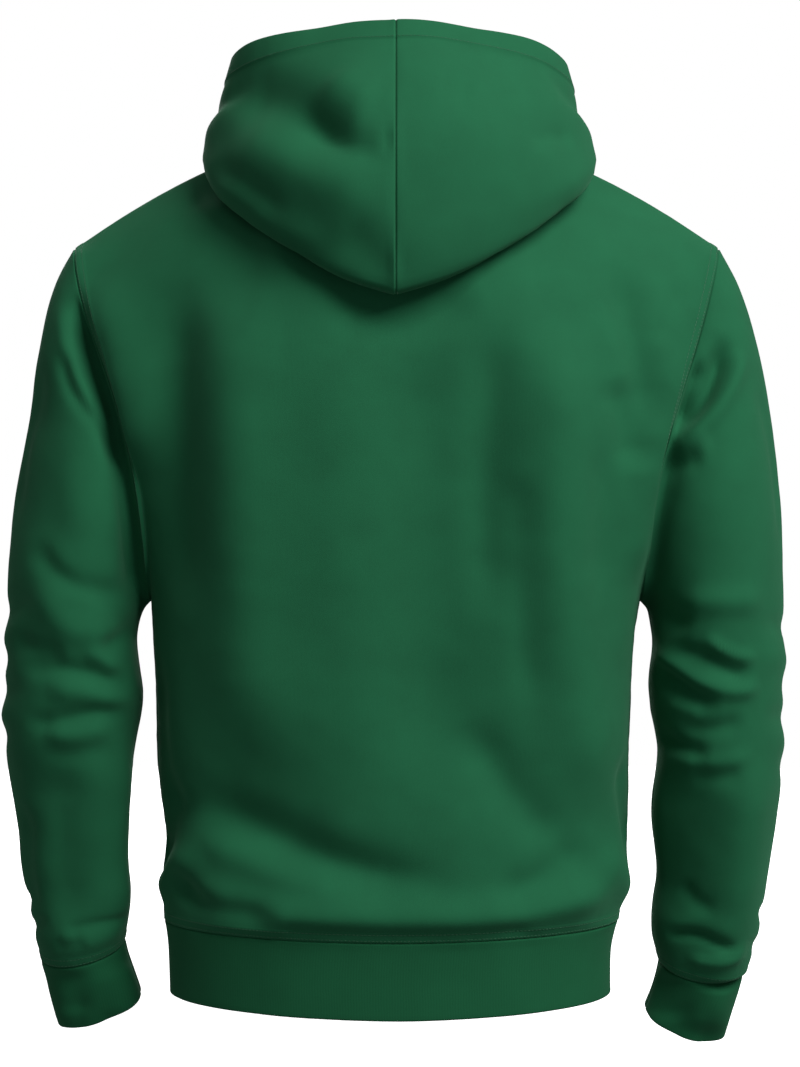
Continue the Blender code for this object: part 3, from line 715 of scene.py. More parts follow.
    def fullness(self) -> np.ndarray:
        """Rounds the cloth off at its rolled edges.

        Returns:
            The share of the thickness at each point, which falls to little at those edges.
        """
        share = np.ones(self.points.shape[:2])
        for edge, distance in zip(self.cut.edges, self.edge_distances()):
            if edge.value.rolled:
                t = np.clip(distance / (self.cut.stuff.value / 2), 0, 1)
                share = np.minimum(share, np.sqrt(np.maximum(1 - (1 - t) ** 2, self.thinnest)))
        return share

    def build(self) -> bpy.types.Object:
        """Makes a grid on the right side, extrudes it to the wrong side and gives it its cloth map.

        Returns:
            The piece's object.
        """
        self.sew()
        half = self.ways * self.cut.stuff.value / 2
        middle = self.points - half
        full = self.fullness()[..., None]
        outer = (middle + half * full).reshape(-1, 3)
        inner = (middle - half * full).reshape(-1, 3)
        rows, columns = self.points.shape[:2]
        mesh = bmesh.new()
        bmesh.ops.create_grid(mesh, x_segments=columns - 1, y_segments=rows - 1, size=0.5)
        order = mesh.verts.layers.int.new("order")
        for index, vert in enumerate(mesh.verts):
            vert[order] = index
            vert.co = outer[index]
        layer = mesh.loops.layers.uv.new(CLOTH_MAP)
        across = (self.across - self.across[:, [columns // 2]]).ravel()
        down = self.down.ravel()
        for face in mesh.faces:
            for loop in face.loops:
                index = loop.vert[order]
                loop[layer].uv = across[index], -down[index]
        if self.pattern.closed:
            bmesh.ops.remove_doubles(mesh, verts=mesh.verts, dist=0.01 * MM)
        made = bmesh.ops.extrude_face_region(mesh, geom=mesh.faces[:] + mesh.edges[:] + mesh.verts[:])
        for item in made["geom"]:
            if isinstance(item, bmesh.types.BMVert):
                item.co = inner[item[order]]
            elif isinstance(item, bmesh.types.BMFace):
                item.material_index = 1
        bmesh.ops.recalc_face_normals(mesh, faces=mesh.faces)
        mesh.verts.layers.int.remove(mesh.verts.layers.int["order"])
        area = sum(face.calc_area() for face in mesh.faces) / 2
        LOG.info("%s: %.4f square metres", self.name, area)
        piece = garment_piece(self.name, mesh, (self.outside, self.inside))
        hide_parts(self.node)
        return piece

    def needle_lines(self) -> list[tuple[np.ndarray, np.ndarray]]:
        """Finds every line of stitches on this piece.

        Returns:
            The points along each line and the ways out at them.
        """
        found = []
        shares = self.seam_shares()
        for number, edge in enumerate(self.cut.edges):
            places = np.array(edge.value.places())
            for needle in edge.value.needles:
                index = int(np.argmin(np.abs(places - needle * MM)))
                pick = (index, -1 - index)[number % 2]
                if number < 2:
                    line = self.points[pick], self.ways[pick]
                else:
                    line = self.points[:, pick], self.ways[:, pick]
                    if self.corner is not None:
                        keep = shares[number][:, 0 if number == 2 else -1] > 0.5
                        line = line[0][keep], line[1][keep]
                found.append(line)
        return found


@dataclass
class Body:
    """The back, the two fronts and the hem band, on the solids' sections."""

    neck_half_width: float = 88 * MM
    neck_side_z: float = -8 * MM
    neck_back: tuple[float, float] = (72 * MM, -16 * MM)
    neck_front: tuple[float, float] = (-96 * MM, -74 * MM)
    neck_dip: float = 1.6
    shoulder_slope: float = 0.308
    shoulder_curve: float = 1.224
    armhole_top: float = -95 * MM
    underarm: float = -377 * MM
    armhole_back: float = 57 * MM
    armhole_front: float = -61 * MM
    roundness: float = 2.3
    fill: float = 1.1
    evening: int = 3
    neck_reach: float = 0.55
    neck_falls: tuple[float, float] = (2.6, 1.3)
    hem_seam: float = -634 * MM
    hem: float = -694 * MM
    side_lift: float = 7 * MM
    side_lift_power: float = 1.5
    zip_half_gap: float = 8 * MM
    neck_steps: int = 8
    shoulder_steps: int = 6
    armhole_steps: int = 12
    armhole_reads: int = 400
    side_steps: int = 12
    band_steps: int = 3
    armhole: tuple[Row, ...] = records(
        Row,
        (-95, 257, 258), (-140, 247, 246), (-190, 229, 231), (-245, 212, 214), (-300, 202, 202),
        (-377, 196, 195),
    )
    scoop: tuple[Row, ...] = records(
        Row,
        (-95, 0, 0), (-140, 3, 3), (-190, 8, 8), (-245, 8, 8), (-300, 4, 4), (-377, 0, 0),
    )
    side: tuple[Row, ...] = records(
        Row,
        (-377, 196, 195), (-412, 194, 190), (-456, 192, 188), (-504, 191, 186), (-540, 187, 186),
        (-572, 184, 185), (-602, 187, 184), (-631, 185, 178), (-648, 183, 174), (-690, 181, 172),
    )
    back_depth: tuple[Depth, ...] = records(
        Depth,
        (-16, 72), (-60, 96), (-110, 113), (-170, 125), (-240, 131), (-310, 130), (-377, 127),
        (-460, 122), (-540, 119), (-600, 120), (-631, 117), (-690, 113),
    )
    front_depth: tuple[Depth, ...] = records(
        Depth,
        (-74, -96), (-100, -107), (-140, -119), (-190, -129), (-250, -135), (-310, -136),
        (-377, -134), (-460, -129), (-540, -126), (-600, -125), (-631, -121), (-690, -115),
    )
    patterns: dict[str, Pattern] = field(init=False, default_factory=dict)

    def neck_line(self, back: bool) -> np.ndarray:
        """Draws one half of the neck's seam.

        Args:
            back: The back of the neck, or its front.

        Returns:
            Points from its middle to where it meets the shoulder.
        """
        turn = np.linspace(0, math.pi / 2, self.neck_steps + 1)
        depth, middle = self.neck_back if back else self.neck_front
        x = self.neck_half_width * np.sin(turn)
        y = depth * np.cos(turn)
        dip = np.maximum(np.cos(turn), 0) ** self.neck_dip
        z = self.neck_side_z + (middle - self.neck_side_z) * dip
        y[-1] = 0
        z[-1] = self.neck_side_z
        return np.stack([x, y, z], axis=-1)

    def shoulder_line(self, tip: float) -> np.ndarray:
        """Draws the shoulder.

        Args:
            tip: How far out it ends.

        Returns:
            Points from the neck out to the tip, without the first.
        """
        x = np.linspace(self.neck_half_width, tip, self.shoulder_steps + 1)[1:]
        out = x - self.neck_half_width
        z = self.neck_side_z - self.shoulder_slope * out - self.shoulder_curve * out**2
        z += (self.armhole_top - z[-1]) * out / out[-1]
        return np.stack([x, 0 * x, z], axis=-1)

    def armhole_line(self, side: Side, back: bool) -> np.ndarray:
        """Draws one half of an armhole's seam.

        Args:
            side: The wearer's left or right.
            back: Its back half, or its front half.

        Returns:
            Points from the shoulder tip down, evenly spaced, with X positive whatever the side.
        """
        column = side.name.lower()
        turn = np.linspace(0, math.pi, self.armhole_reads)
        height = (self.armhole_top - self.underarm) / 2
        z = self.underarm + height + height * np.cos(turn)
        x = at_height(self.armhole, column, z)
        if not back:
            x -= at_height(self.scoop, column, z)
        y = (self.armhole_back if back else self.armhole_front) * np.sin(turn)
        y[0] = y[-1] = 0
        fine = np.stack([x, y, z], axis=-1)
        run = run_length(fine)
        even = np.linspace(0, run[-1], self.armhole_steps + 1)
        line = np.stack([np.interp(even, run, fine[:, axis]) for axis in range(3)], axis=-1)
        for place, end in ((0, self.armhole_top), (-1, self.underarm)):
            line[place] = at_height(self.armhole, column, end)[0], 0, end
        return line

    def half(self, side: Side, back: bool) -> np.ndarray:
        """Rows of points from the middle of the body to its side, from the neck down to the hem.

        Args:
            side: The wearer's left or right.
            back: The back of the body, or its front.

        Returns:
            Rows by columns of points.
        """
        armhole = self.armhole_line(side, back)
        top = np.concatenate([self.neck_line(back), self.shoulder_line(armhole[0, 0])])
        columns = self.neck_steps + self.shoulder_steps
        at_top = top[:, 0] / armhole[0, 0]
        lower = np.sin(np.linspace(0, math.pi / 2, columns + 1)) ** (2 / self.roundness)
        heights = [
            np.linspace(top[0, 2], self.underarm, self.armhole_steps + 1),
            np.linspace(self.underarm, self.hem_seam, self.side_steps + 1)[1:],
            np.linspace(self.hem_seam, self.hem, self.band_steps + 1)[1:],
        ]
        rows = []
        for row, z in enumerate(np.concatenate(heights)):
            share = at_top + (lower - at_top) * ease(min(row / self.armhole_steps, 1) * self.fill)
            depth = at_height(self.back_depth if back else self.front_depth, "y", z)[0]
            if row <= self.armhole_steps:
                edge = armhole[row]
            else:
                lift = self.side_lift * ((self.underarm - z) / (self.underarm - self.hem)) ** 2
                edge = np.array([at_height(self.side, side.name.lower(), z)[0], 0, z + lift])
            reach = max(1 - abs(edge[1] / depth) ** self.roundness, 0) ** (1 / self.roundness)
            across = np.clip(share * reach, 0, 1)
            points = np.empty((columns + 1, 3))
            points[:, 0] = share * edge[0]
            points[:, 1] = depth * (1 - across**self.roundness) ** (1 / self.roundness)
            points[:, 2] = z + (edge[2] - z) * share**self.side_lift_power
            points[-1] = edge
            rows.append(points)
        grid = np.array(rows)
        lift = top - grid[0]
        left = np.clip(1 - np.arange(len(grid)) / (self.neck_reach * self.armhole_steps), 0, 1)[:, None]
        for axis, fall in zip((1, 2), self.neck_falls):
            grid[..., axis] += lift[:, axis] * left**fall
        grid[0] = top
        grid[..., 0] *= side.value
        return grid

    def opened(self, rows: np.ndarray, side: Side) -> np.ndarray:
        """Opens rows of the front at the zip.

        Args:
            rows: Rows of points from the middle outwards.
            side: The wearer's left or right.

        Returns:
            The same rows with the middle moved out to the zip, and the points near it by less.
        """
        moved = rows.copy()
        near = np.clip(1 - np.abs(rows[..., 0]) / self.neck_half_width, 0, 1)
        moved[..., 0] += side.value * self.zip_half_gap * near
        return moved

    def __post_init__(self) -> None:
        """Works out the coarse grids of the four pieces."""
        seam = self.armhole_steps + self.side_steps
        back = {side: self.half(side, True) for side in Side}
        front = {side: self.opened(self.half(side, False), side) for side in Side}
        whole = np.concatenate([back[Side.RIGHT][:, :0:-1], back[Side.LEFT]], axis=1)
        self.patterns["back_panel"] = Pattern(whole[: seam + 1].copy())
        for side in Side:
            turned = side is Side.LEFT
            self.patterns["front_" + side.name.lower()] = Pattern(front[side][: seam + 1].copy(), turned)
        for pattern in self.patterns.values():
            pattern.even(self.evening)
        around = [
            front[Side.LEFT],
            back[Side.LEFT][:, ::-1][:, 1:],
            back[Side.RIGHT][:, 1:],
            front[Side.RIGHT][:, ::-1][:, 1:],
        ]
        self.patterns["hem_band"] = Pattern(np.concatenate(around, axis=1)[seam:], True)


@dataclass
class Sleeve:
    """One sleeve and its cuff, as rings from the armhole down."""

    side: Side
    tube: tuple[Section, ...]
    cuff: tuple[Section, ...]
    body: Body
    steps: int = 22
    cuff_steps: int = 3
    ease_rows: int = 6
    patterns: dict[str, Pattern] = field(init=False, default_factory=dict)

    def ring(self, section: Section, turns: np.ndarray) -> np.ndarray:
        """Draws an ellipse across the sleeve.

        Args:
            section: Its sizes, in metres.
            turns: The angles of its points, from the outer one round by the back.

        Returns:
            One point for each angle.
        """
        sign = self.side.value
        outer = np.array([section.outer_x * sign, section.y, section.outer_z])
        inner = np.array([section.inner_x * sign, section.y, section.inner_z])
        ring = (outer + inner) / 2 + np.cos(turns)[:, None] * (outer - inner) / 2
        ring[:, 1] += np.sin(turns) * section.half_depth
        ring[:, 2] -= np.sin(turns) * section.drop
        return ring

    def rings(self, table: Sequence[Section], steps: int) -> np.ndarray:
        """Rings of points at even steps along a table of sections.

        Args:
            table: Sections in millimetres.
            steps: How many stretches the table is divided into.

        Returns:
            Rows by columns of points.
        """
        values = np.array(table, float) * MM
        outers = values[:, (0, 1)]
        middles = (outers + values[:, (2, 3)]) / 2
        run = run_length(middles) + run_length(outers)
        turns = np.linspace(0, 2 * math.pi, 2 * self.body.armhole_steps + 1)[:-1]
        sections = spline(run, values, np.linspace(0, run[-1], steps + 1))
        return np.array([self.ring(Section(*section), turns) for section in sections])

    def __post_init__(self) -> None:
        """Works out the coarse grids of the sleeve and the cuff, which start and end under the arm."""
        tube = self.rings(self.tube, self.steps)
        back = self.body.armhole_line(self.side, True)
        front = self.body.armhole_line(self.side, False)
        seam = np.concatenate([back, front[-2:0:-1]])
        seam[:, 0] *= self.side.value
        lift = seam - tube[0]
        for row in range(self.ease_rows):
            tube[row] += lift * (1 - ease(row / self.ease_rows))
        tube[0] = seam
        end = self.rings(self.cuff, self.cuff_steps)
        end[0] = tube[-1]
        turned = self.side is Side.LEFT
        for name, rows in (("sleeve_", tube), ("cuff_", end)):
            rolled = np.roll(rows, -self.body.armhole_steps, axis=1)
            self.patterns[name + self.side.name.lower()] = Pattern(rolled, turned, closed=True)


@dataclass
class Hood:
    """The two halves of the hood, which lies down on the back."""

    body: Body
    columns: tuple[HoodColumn, ...] = records(
        HoodColumn,
        (0, 83, 6, 117, -92, 136, -144, 150, -88, 134, 10, 97, 70),
        (18, 84, 7, 117, -84, 136, -130, 151, -82, 135, 12, 98, 69),
        (36, 87, 9, 120, -68, 139, -107, 152, -68, 136, 14, 104, 65),
        (57, 92, 12, 127, -44, 146, -76, 155, -50, 141, 14, 124, 61),
        (72, 96, 13, 131, -24, 151, -50, 158, -33, 142, 20, 131, 55.5),
        (90, 98, 12, 129, -11, 151, -28, 156, -18, 142, 20, 130, 49),
        (110, 98, 1, 122, -21, 139, -40, 146, -22, 137, 14, 122, 38),
        (130, 98, -21, 110, -30, 121, -42, 128, -25, 123, 2, 112, 22),
        (150, 98, -49, 103, -44, 108, -38, 111, -29, 110, -14, 106, 0),
        (165, 98, -62, 101, -56, 103, -49, 104, -41, 103, -31, 102, -21),
        (180, 97, -69, 98, -64, 99, -59, 99.5, -54, 100, -49, 100, -44),
    )
    steps: tuple[int, ...] = (2, 3, 3, 3, 3, 2)
    right_out: float = 1.035
    right_up: float = -6 * MM
    right_fall: int = 8
    patterns: dict[str, Pattern] = field(init=False, default_factory=dict)

    def half(self, side: Side) -> np.ndarray:
        """Draws one half of the hood.

        Args:
            side: The wearer's left or right.

        Returns:
            Rows from the neck seam to the free edge, and columns from the middle of the back to the zip.
        """
        gap = self.body.zip_half_gap
        front = self.body.neck_line(False)
        front[:, 0] += gap * np.clip(1 - front[:, 0] / self.body.neck_half_width, 0, 1)
        neck = np.concatenate([self.body.neck_line(True), front[-2::-1]])
        degrees = np.linspace(0, 180, len(neck))
        table = spline([row.degrees for row in self.columns], np.array(self.columns)[:, 1:] * MM, degrees)
        made = []
        for angle, start, values in zip(np.radians(degrees), neck, table):
            out, up = values[0::2], values[1::2]
            if side is Side.RIGHT:
                out = out * (1 + (self.right_out - 1) * math.sin(angle) ** 2)
                shift = self.right_up * math.sin(angle) ** self.right_fall
                up = up + shift * (up - up.min()) / np.ptp(up)
            x = out * math.sin(angle) + gap * max(-math.cos(angle), 0) ** 2
            places = np.stack([x, out * math.cos(angle), up], axis=-1)
            route = np.concatenate([start[None], places])
            run = run_length(route)
            reads = [0.0]
            for before, after, count in zip(run[:-1], run[1:], self.steps):
                reads += list(np.linspace(before, after, count + 1)[1:])
            column = spline(run, route, reads)
            column[0] = start
            made.append(column)
        points = np.array(made).transpose(1, 0, 2)
        points[:, 0, 0] = 0
        points[..., 0] *= side.value
        return points

    def __post_init__(self) -> None:
        """Works out the coarse grids of the two halves."""
        for side in Side:
            name = "hood_" + side.name.lower()
            self.patterns[name] = Pattern(self.half(side), side is Side.LEFT)


LEFT_TUBE = records(
    Section,
    (257, -95, 196, -377, 0, 58, 0),
    (271, -121, 200.5, -381.5, 0, 64, 0),
    (281, -160, 204, -388, 0, 69, 0),
    (288, -204, 206, -396, 1, 72, 0),
    (296, -255, 207, -407, 2, 72, 0),
    (303, -306, 206, -420, 3, 70, 0),
    (308, -352, 204, -434, 3, 67, 0),
    (311, -396, 202, -449, 3, 64, 0),
    (312, -440, 204, -468, 2, 62, 1),
    (312, -482, 209, -494, 1, 59, 2),
    (308, -524, 212, -527, -2, 56, 4),
    (303, -562, 215, -561, -6, 52, 6),
    (300, -598, 215, -594, -10, 48, 8),
    (294, -627, 213.5, -621, -14, 44, 9),
    (291, -648, 217, -639, -17, 40, 10),
    (286, -663, 219, -651, -19, 35, 10),
)
RIGHT_TUBE = records(
    Section,
    (258, -95, 195, -377, 0, 58, 0),
    (272, -121, 200, -381, 0, 64, 0),
    (285, -160, 203, -387, 0, 69, 0),
    (294, -204, 204.5, -396, 1, 72, 0),
    (301, -255, 205.5, -407, 2, 72, 0),
    (306, -306, 204.5, -420, 3, 70, 0),
    (309, -352, 202, -436, 3, 67, 0),
    (310, -396, 202, -452, 3, 64, 0),
    (310, -442, 205, -472, 2, 62, 1),
    (309, -486, 209, -497, 1, 59, 2),
    (307, -526, 206.5, -529, -2, 56, 4),
    (303, -564, 206, -562, -6, 52, 6),
    (298, -600, 209.5, -594, -10, 48, 8),
    (294, -632, 206, -624, -14, 44, 10),
    (288, -656, 207, -651, -17, 40, 11),
    (280, -673, 212, -666, -19, 35, 11),
)
LEFT_CUFF = records(
    Section,
    (286, -663, 219, -651, -19, 35, 10),
    (282, -679, 216, -663, -20, 33.5, 10),
    (278, -698, 211, -678, -22, 33, 10),
    (273, -718, 206, -694, -24, 33.5, 10),
)
RIGHT_CUFF = records(
    Section,
    (280, -673, 212, -666, -19, 35, 11),
    (276, -689, 209.5, -679, -20, 33.5, 12),
    (271, -707, 206, -693, -22, 33, 12),
    (266, -727, 201, -707, -24, 33.5, 12),
)

BACK_CREASES = creases(
    (24, 12, (170, -135), (172, -177), (173, -222), (174, -275), (172, -328), (166, -373)),
    (20, -8, (234, -129), (223, -162), (214, -200), (205, -237), (198, -274)),
    (13, -5, (-219, -185), (-210, -230), (-202, -268), (-193, -313), (-187, -358)),
    (30, -9, (121, -147), (121, -252), (119, -343), (113, -441), (101, -494)),
    (46, 15, (-11, -162), (-21, -222), (-26, -298), (-24, -373), (-33, -449), (-61, -517)),
    (19, 8, (-74, -169), (-71, -237), (-71, -313), (-73, -381)),
    (27, -13, (-125, -177), (-124, -283), (-128, -373), (-139, -464), (-153, -532)),
    (12, 3, (-94, -283), (-97, -358), (-101, -449)),
    (14, 3, (-160, -252), (-156, -313), (-154, -373)),
    (22, 14, (163, -533), (118, -550), (65, -571), (19, -587), (-30, -600)),
    (44, 7, (148, -500), (102, -524), (50, -551)),
    (15, -7.5, (158, -553), (121, -566), (72, -584), (19, -597), (-33, -600)),
    (10, 9, (178, -587), (151, -606), (118, -612), (90, -615)),
    (18, 7, (-61, -471), (-85, -514), (-107, -541), (-130, -560)),
    (14, 5, (-79, -603), (-105, -592), (-128, -574), (-147, -562)),
    (15, -11, (161, -598), (140, -607), (72, -614), (-3, -615), (-79, -613), (-165, -599)),
    (6, 3, (87, -624), (-3, -627), (-101, -625)),
    (14, 8, (-171, -118), (-180, -151), (-187, -181), (-194, -211), (-198, -240)),
    (9, 2.2, (-224, -126), (-215, -153), (-205, -175)),
    (15, 6, (-169, -207), (-178, -237), (-187, -272)),
    (18, -8, (151, -62), (118, -88), (72, -112)),
    (22, 7, (50, -139), (-3, -156), (-56, -139)),
)
FRONT_CREASES = creases(
    (22, 9, (168, -330), (140, -410), (128, -500)),
    (20, -6, (126, -340), (104, -450), (98, -540)),
    (20, 9, (170, -505), (120, -556), (66, -590)),
    (30, 6, (60, -200), (66, -300), (58, -420)),
    (10, 5, (196, -300), (160, -262), (118, -236)),
    (12, -5, (190, -330), (156, -292), (110, -262)),
    (14, 4, (120, -120), (150, -165), (168, -215)),
    (15, -8, (172, -596), (120, -606), (60, -612), (18, -614)),
    (9, 3, (14, -360), (40, -372), (72, -392)),
    (8, 2.6, (14, -452), (36, -448), (60, -440)),
    (8, 2.6, (14, -560), (36, -556), (58, -548)),
    (22, 8, (-164, -320), (-146, -400), (-124, -470)),
    (22, 9, (-168, -528), (-124, -570), (-70, -596)),
    (28, 6, (-48, -240), (-44, -350), (-40, -470)),
    (26, -5, (-88, -230), (-84, -340), (-70, -450)),
    (9, 5, (-200, -322), (-168, -280), (-134, -256)),
    (12, -4, (-186, -350), (-150, -318), (-112, -292)),
    (14, 4.5, (-112, -118), (-146, -158), (-172, -212)),
    (15, -8, (-172, -598), (-110, -608), (-52, -613), (-18, -612)),
    (8, 3, (-14, -300), (-38, -312), (-66, -334)),
    (7, 2.4, (-14, -404), (-34, -402), (-52, -396)),
    (9, 2.6, (-14, -520), (-40, -528), (-74, -528)),
)
LEFT_SLEEVE_CREASES = creases(
    (13, 15, (247, -141), (240, -172), (230, -202), (219, -228), (210, -258), (202, -301),
     (198, -344), (194, -381)),
    (8, -4, (261, -144), (257, -176), (246, -205), (233, -228), (224, -249)),
    (6, 4, (261, -182), (254, -207), (236, -232), (222, -250), (215, -270)),
    (9, 4.2, (282, -332), (268, -350), (249, -362), (227, -368), (208, -369)),
    (13, -4.5, (277, -363), (269, -379), (258, -393), (241, -400), (219, -397)),
    (9, 4, (300, -403), (279, -414), (258, -415)),
    (7, 5, (199, -389), (213, -404), (230, -412)),
    (6, -3, (241, -415), (227, -423), (218, -432)),
    (8, 4.5, (293, -428), (263, -428), (238, -433), (212, -442)),
    (10, -4.5, (269, -445), (246, -446), (224, -452), (210, -457)),
    (7, 4, (285, -471), (257, -468), (233, -463), (212, -462)),
    (9, -3.5, (272, -478), (250, -480), (224, -474)),
    (9, 2, (277, -493), (249, -495), (222, -490)),
    (4, 2.2, (260, -638), (238, -632), (213, -628)),
    (5, 2.4, (271, -648), (258, -648), (246, -645)),
    (8, -2.5, (271, -644), (244, -647), (218, -638)),
    (26, -9, (213, -488), (213, -569), (215, -639)),
    (30, 11, (268, -499), (263, -569), (258, -635)),
    (26, 6, (274, -204), (274, -274), (268, -344)),
)
RIGHT_SLEEVE_CREASES = creases(
    (9, 14, (-258, -174), (-251, -194), (-241, -213), (-227, -230), (-212, -242)),
    (8, -6, (-271, -182), (-263, -202), (-252, -222), (-237, -239), (-221, -252)),
    (6, 9, (-240, -191), (-230, -204), (-223, -221), (-215, -239)),
    (8, 3, (-206, -270), (-221, -268), (-237, -263)),
    (8, -3, (-216, -256), (-230, -255), (-244, -251)),
    (15, 10, (-213, -250), (-201, -297), (-192, -340), (-188, -375)),
    (10, 4, (-198, -373), (-212, -386), (-229, -395)),
    (10, -4, (-221, -375), (-252, -376), (-285, -375)),
    (6.5, 5, (-215, -412), (-233, -417), (-251, -425), (-274, -436)),
    (5, -4, (-240, -404), (-257, -416), (-280, -421)),
    (6, -5, (-201, -414), (-216, -426), (-237, -439), (-260, -445), (-282, -444)),
    (8, 5.5, (-201, -428), (-220, -442), (-237, -453), (-249, -455)),
    (6, -2, (-212, -457), (-237, -462)),
    (7, 3.5, (-224, -474), (-248, -475), (-269, -469)),
    (7, 4.5, (-204, -481), (-221, -490), (-243, -496)),
    (7, -3, (-218, -499), (-249, -502), (-277, -495)),
    (8, 2, (-232, -513), (-269, -512)),
    (6, 2.5, (-223, -600), (-237, -614), (-251, -618)),
    (4.5, 4.5, (-216, -642), (-237, -640), (-255, -646), (-266, -650)),
    (5, -4, (-232, -660), (-255, -660), (-274, -651)),
    (9, -2, (-212, -635), (-237, -630), (-268, -638)),
    (17, -7, (-277, -507), (-272, -577), (-266, -639), (-254, -702)),
    (24, 5, (-224, -507), (-224, -569), (-224, -632)),
)
SLEEVE_FRONT_CREASES = creases(
    (11, 9, (204, -404), (250, -398), (300, -380)),
    (10, -5, (206, -430), (252, -424), (300, -408)),
    (11, 9, (206, -462), (252, -454), (300, -444)),
    (9, -4, (208, -484), (250, -478), (296, -470)),
    (12, 7, (210, -506), (250, -496), (290, -488)),
    (9, 5, (212, -372), (244, -362), (276, -340)),
    (16, 7, (266, -160), (240, -230), (214, -300)),
    (18, -5, (284, -190), (262, -262), (238, -330)),
    (14, 4, (256, -540), (250, -580), (240, -616)),
    (6, 3, (222, -620), (250, -628), (278, -624)),
    (6, 3, (220, -640), (250, -648), (280, -644)),
)
HOOD_CREASES = creases(
    (11, 6, (75, 4), (55, -21), (31, -35), (6, -37)),
    (22, 11, (131, 14), (106, 13), (80, 1), (58, -17), (34, -30)),
    (20, -5, (49, 23), (36, 8), (18, -4)),
    (22, -6, (136, -17), (109, -32), (75, -50), (40, -65), (9, -74)),
    (8, 3, (140, -38), (121, -50), (101, -65), (85, -81)),
    (10, -3, (137, -50), (116, -68), (90, -89), (55, -105)),
    (18, 4, (40, -98), (16, -120), (3, -138)),
    (4, 3, (3, -18), (7, -36)),
    (6, 1.5, (-102, -26), (-121, -18), (-141, -15)),
    (14, 1.5, (-32, 14), (-58, 8)),
)
LEFT_CUFF_CREASES = creases(
    (15, -5, (225, -668), (219, -696), (220, -711)),
    (18, 4, (261, -672), (258, -708)),
    (26, 9, (270, -716), (240, -724), (212, -718)),
)
RIGHT_CUFF_CREASES = creases(
    (15, -5, (-259, -672), (-253, -700), (-247, -723)),
    (18, 4, (-212, -676), (-215, -712)),
    (26, 9, (-264, -728), (-238, -732), (-208, -716)),
)
LEFT_SIDE_CREASES = creases(
    (16, 7, (60, -520), (30, -560), (8, -588)),
    (14, -6, (74, -570), (36, -594), (8, -606)),
    (18, 6, (-70, -500), (-40, -548), (-8, -580)),
    (14, -5, (-84, -568), (-44, -594), (-10, -606)),
    (20, 5, (40, -420), (36, -480), (46, -540)),
)
RIGHT_SIDE_CREASES = creases(
    (15, 6, (52, -500), (26, -548), (8, -574)),
    (15, -6, (70, -574), (34, -597), (8, -608)),
    (16, 7, (-60, -530), (-34, -566), (-8, -590)),
    (14, -5, (-80, -572), (-42, -596), (-10, -608)),
    (18, 5, (-46, -410), (-40, -470), (-48, -520)),
)
LEFT_OUTER_CREASES = creases(
    (9, 2.5, (58, -372), (20, -384), (-18, -380)),
    (10, -2, (60, -396), (18, -406), (-24, -404)),
    (8, 2.5, (-52, -416), (-14, -424), (26, -420)),
    (9, 2.2, (54, -440), (14, -448), (-30, -440)),
    (9, -1.8, (46, -462), (10, -468), (-34, -462)),
    (8, 2, (-46, -482), (-8, -486), (34, -478)),
    (16, 3.5, (-30, -150), (-18, -220), (-24, -290)),
    (14, 3.5, (36, -190), (20, -250), (28, -310)),
    (18, -2.5, (4, -170), (2, -250), (8, -330)),
    (14, 4, (30, -540), (16, -580), (6, -612)),
    (7, 3, (20, -610), (-10, -616), (-40, -610)),
    (6, 3, (22, -632), (-14, -638), (-48, -632)),
)
RIGHT_OUTER_CREASES = creases(
    (8, 2.5, (56, -392), (18, -398), (-22, -390)),
    (10, -2, (58, -416), (16, -424), (-26, -418)),
    (9, 2.5, (-50, -436), (-12, -444), (24, -442)),
    (8, 2, (50, -464), (12, -470), (-26, -464)),
    (10, -1.5, (44, -486), (6, -490), (-30, -484)),
    (9, 1.8, (-42, -506), (-6, -510), (30, -504)),
    (15, 3.5, (-34, -160), (-20, -232), (-30, -310)),
    (13, 3, (40, -200), (26, -270), (30, -330)),
    (18, -2, (0, -180), (4, -260), (0, -340)),
    (6, 3, (14, -622), (-16, -628), (-44, -620)),
    (6, 2.6, (18, -648), (-14, -654), (-50, -648)),
)
HOOD_SIDE_CREASES = creases(
    (20, 5, (120, -22), (70, -16), (10, -9), (-30, -9)),
    (12, -2, (100, -62), (50, -52), (0, -34)),
    (9, 4, (70, 24), (20, 12), (-30, 2)),
    (10, 4, (-20, -40), (-50, -46), (-78, -60)),
)


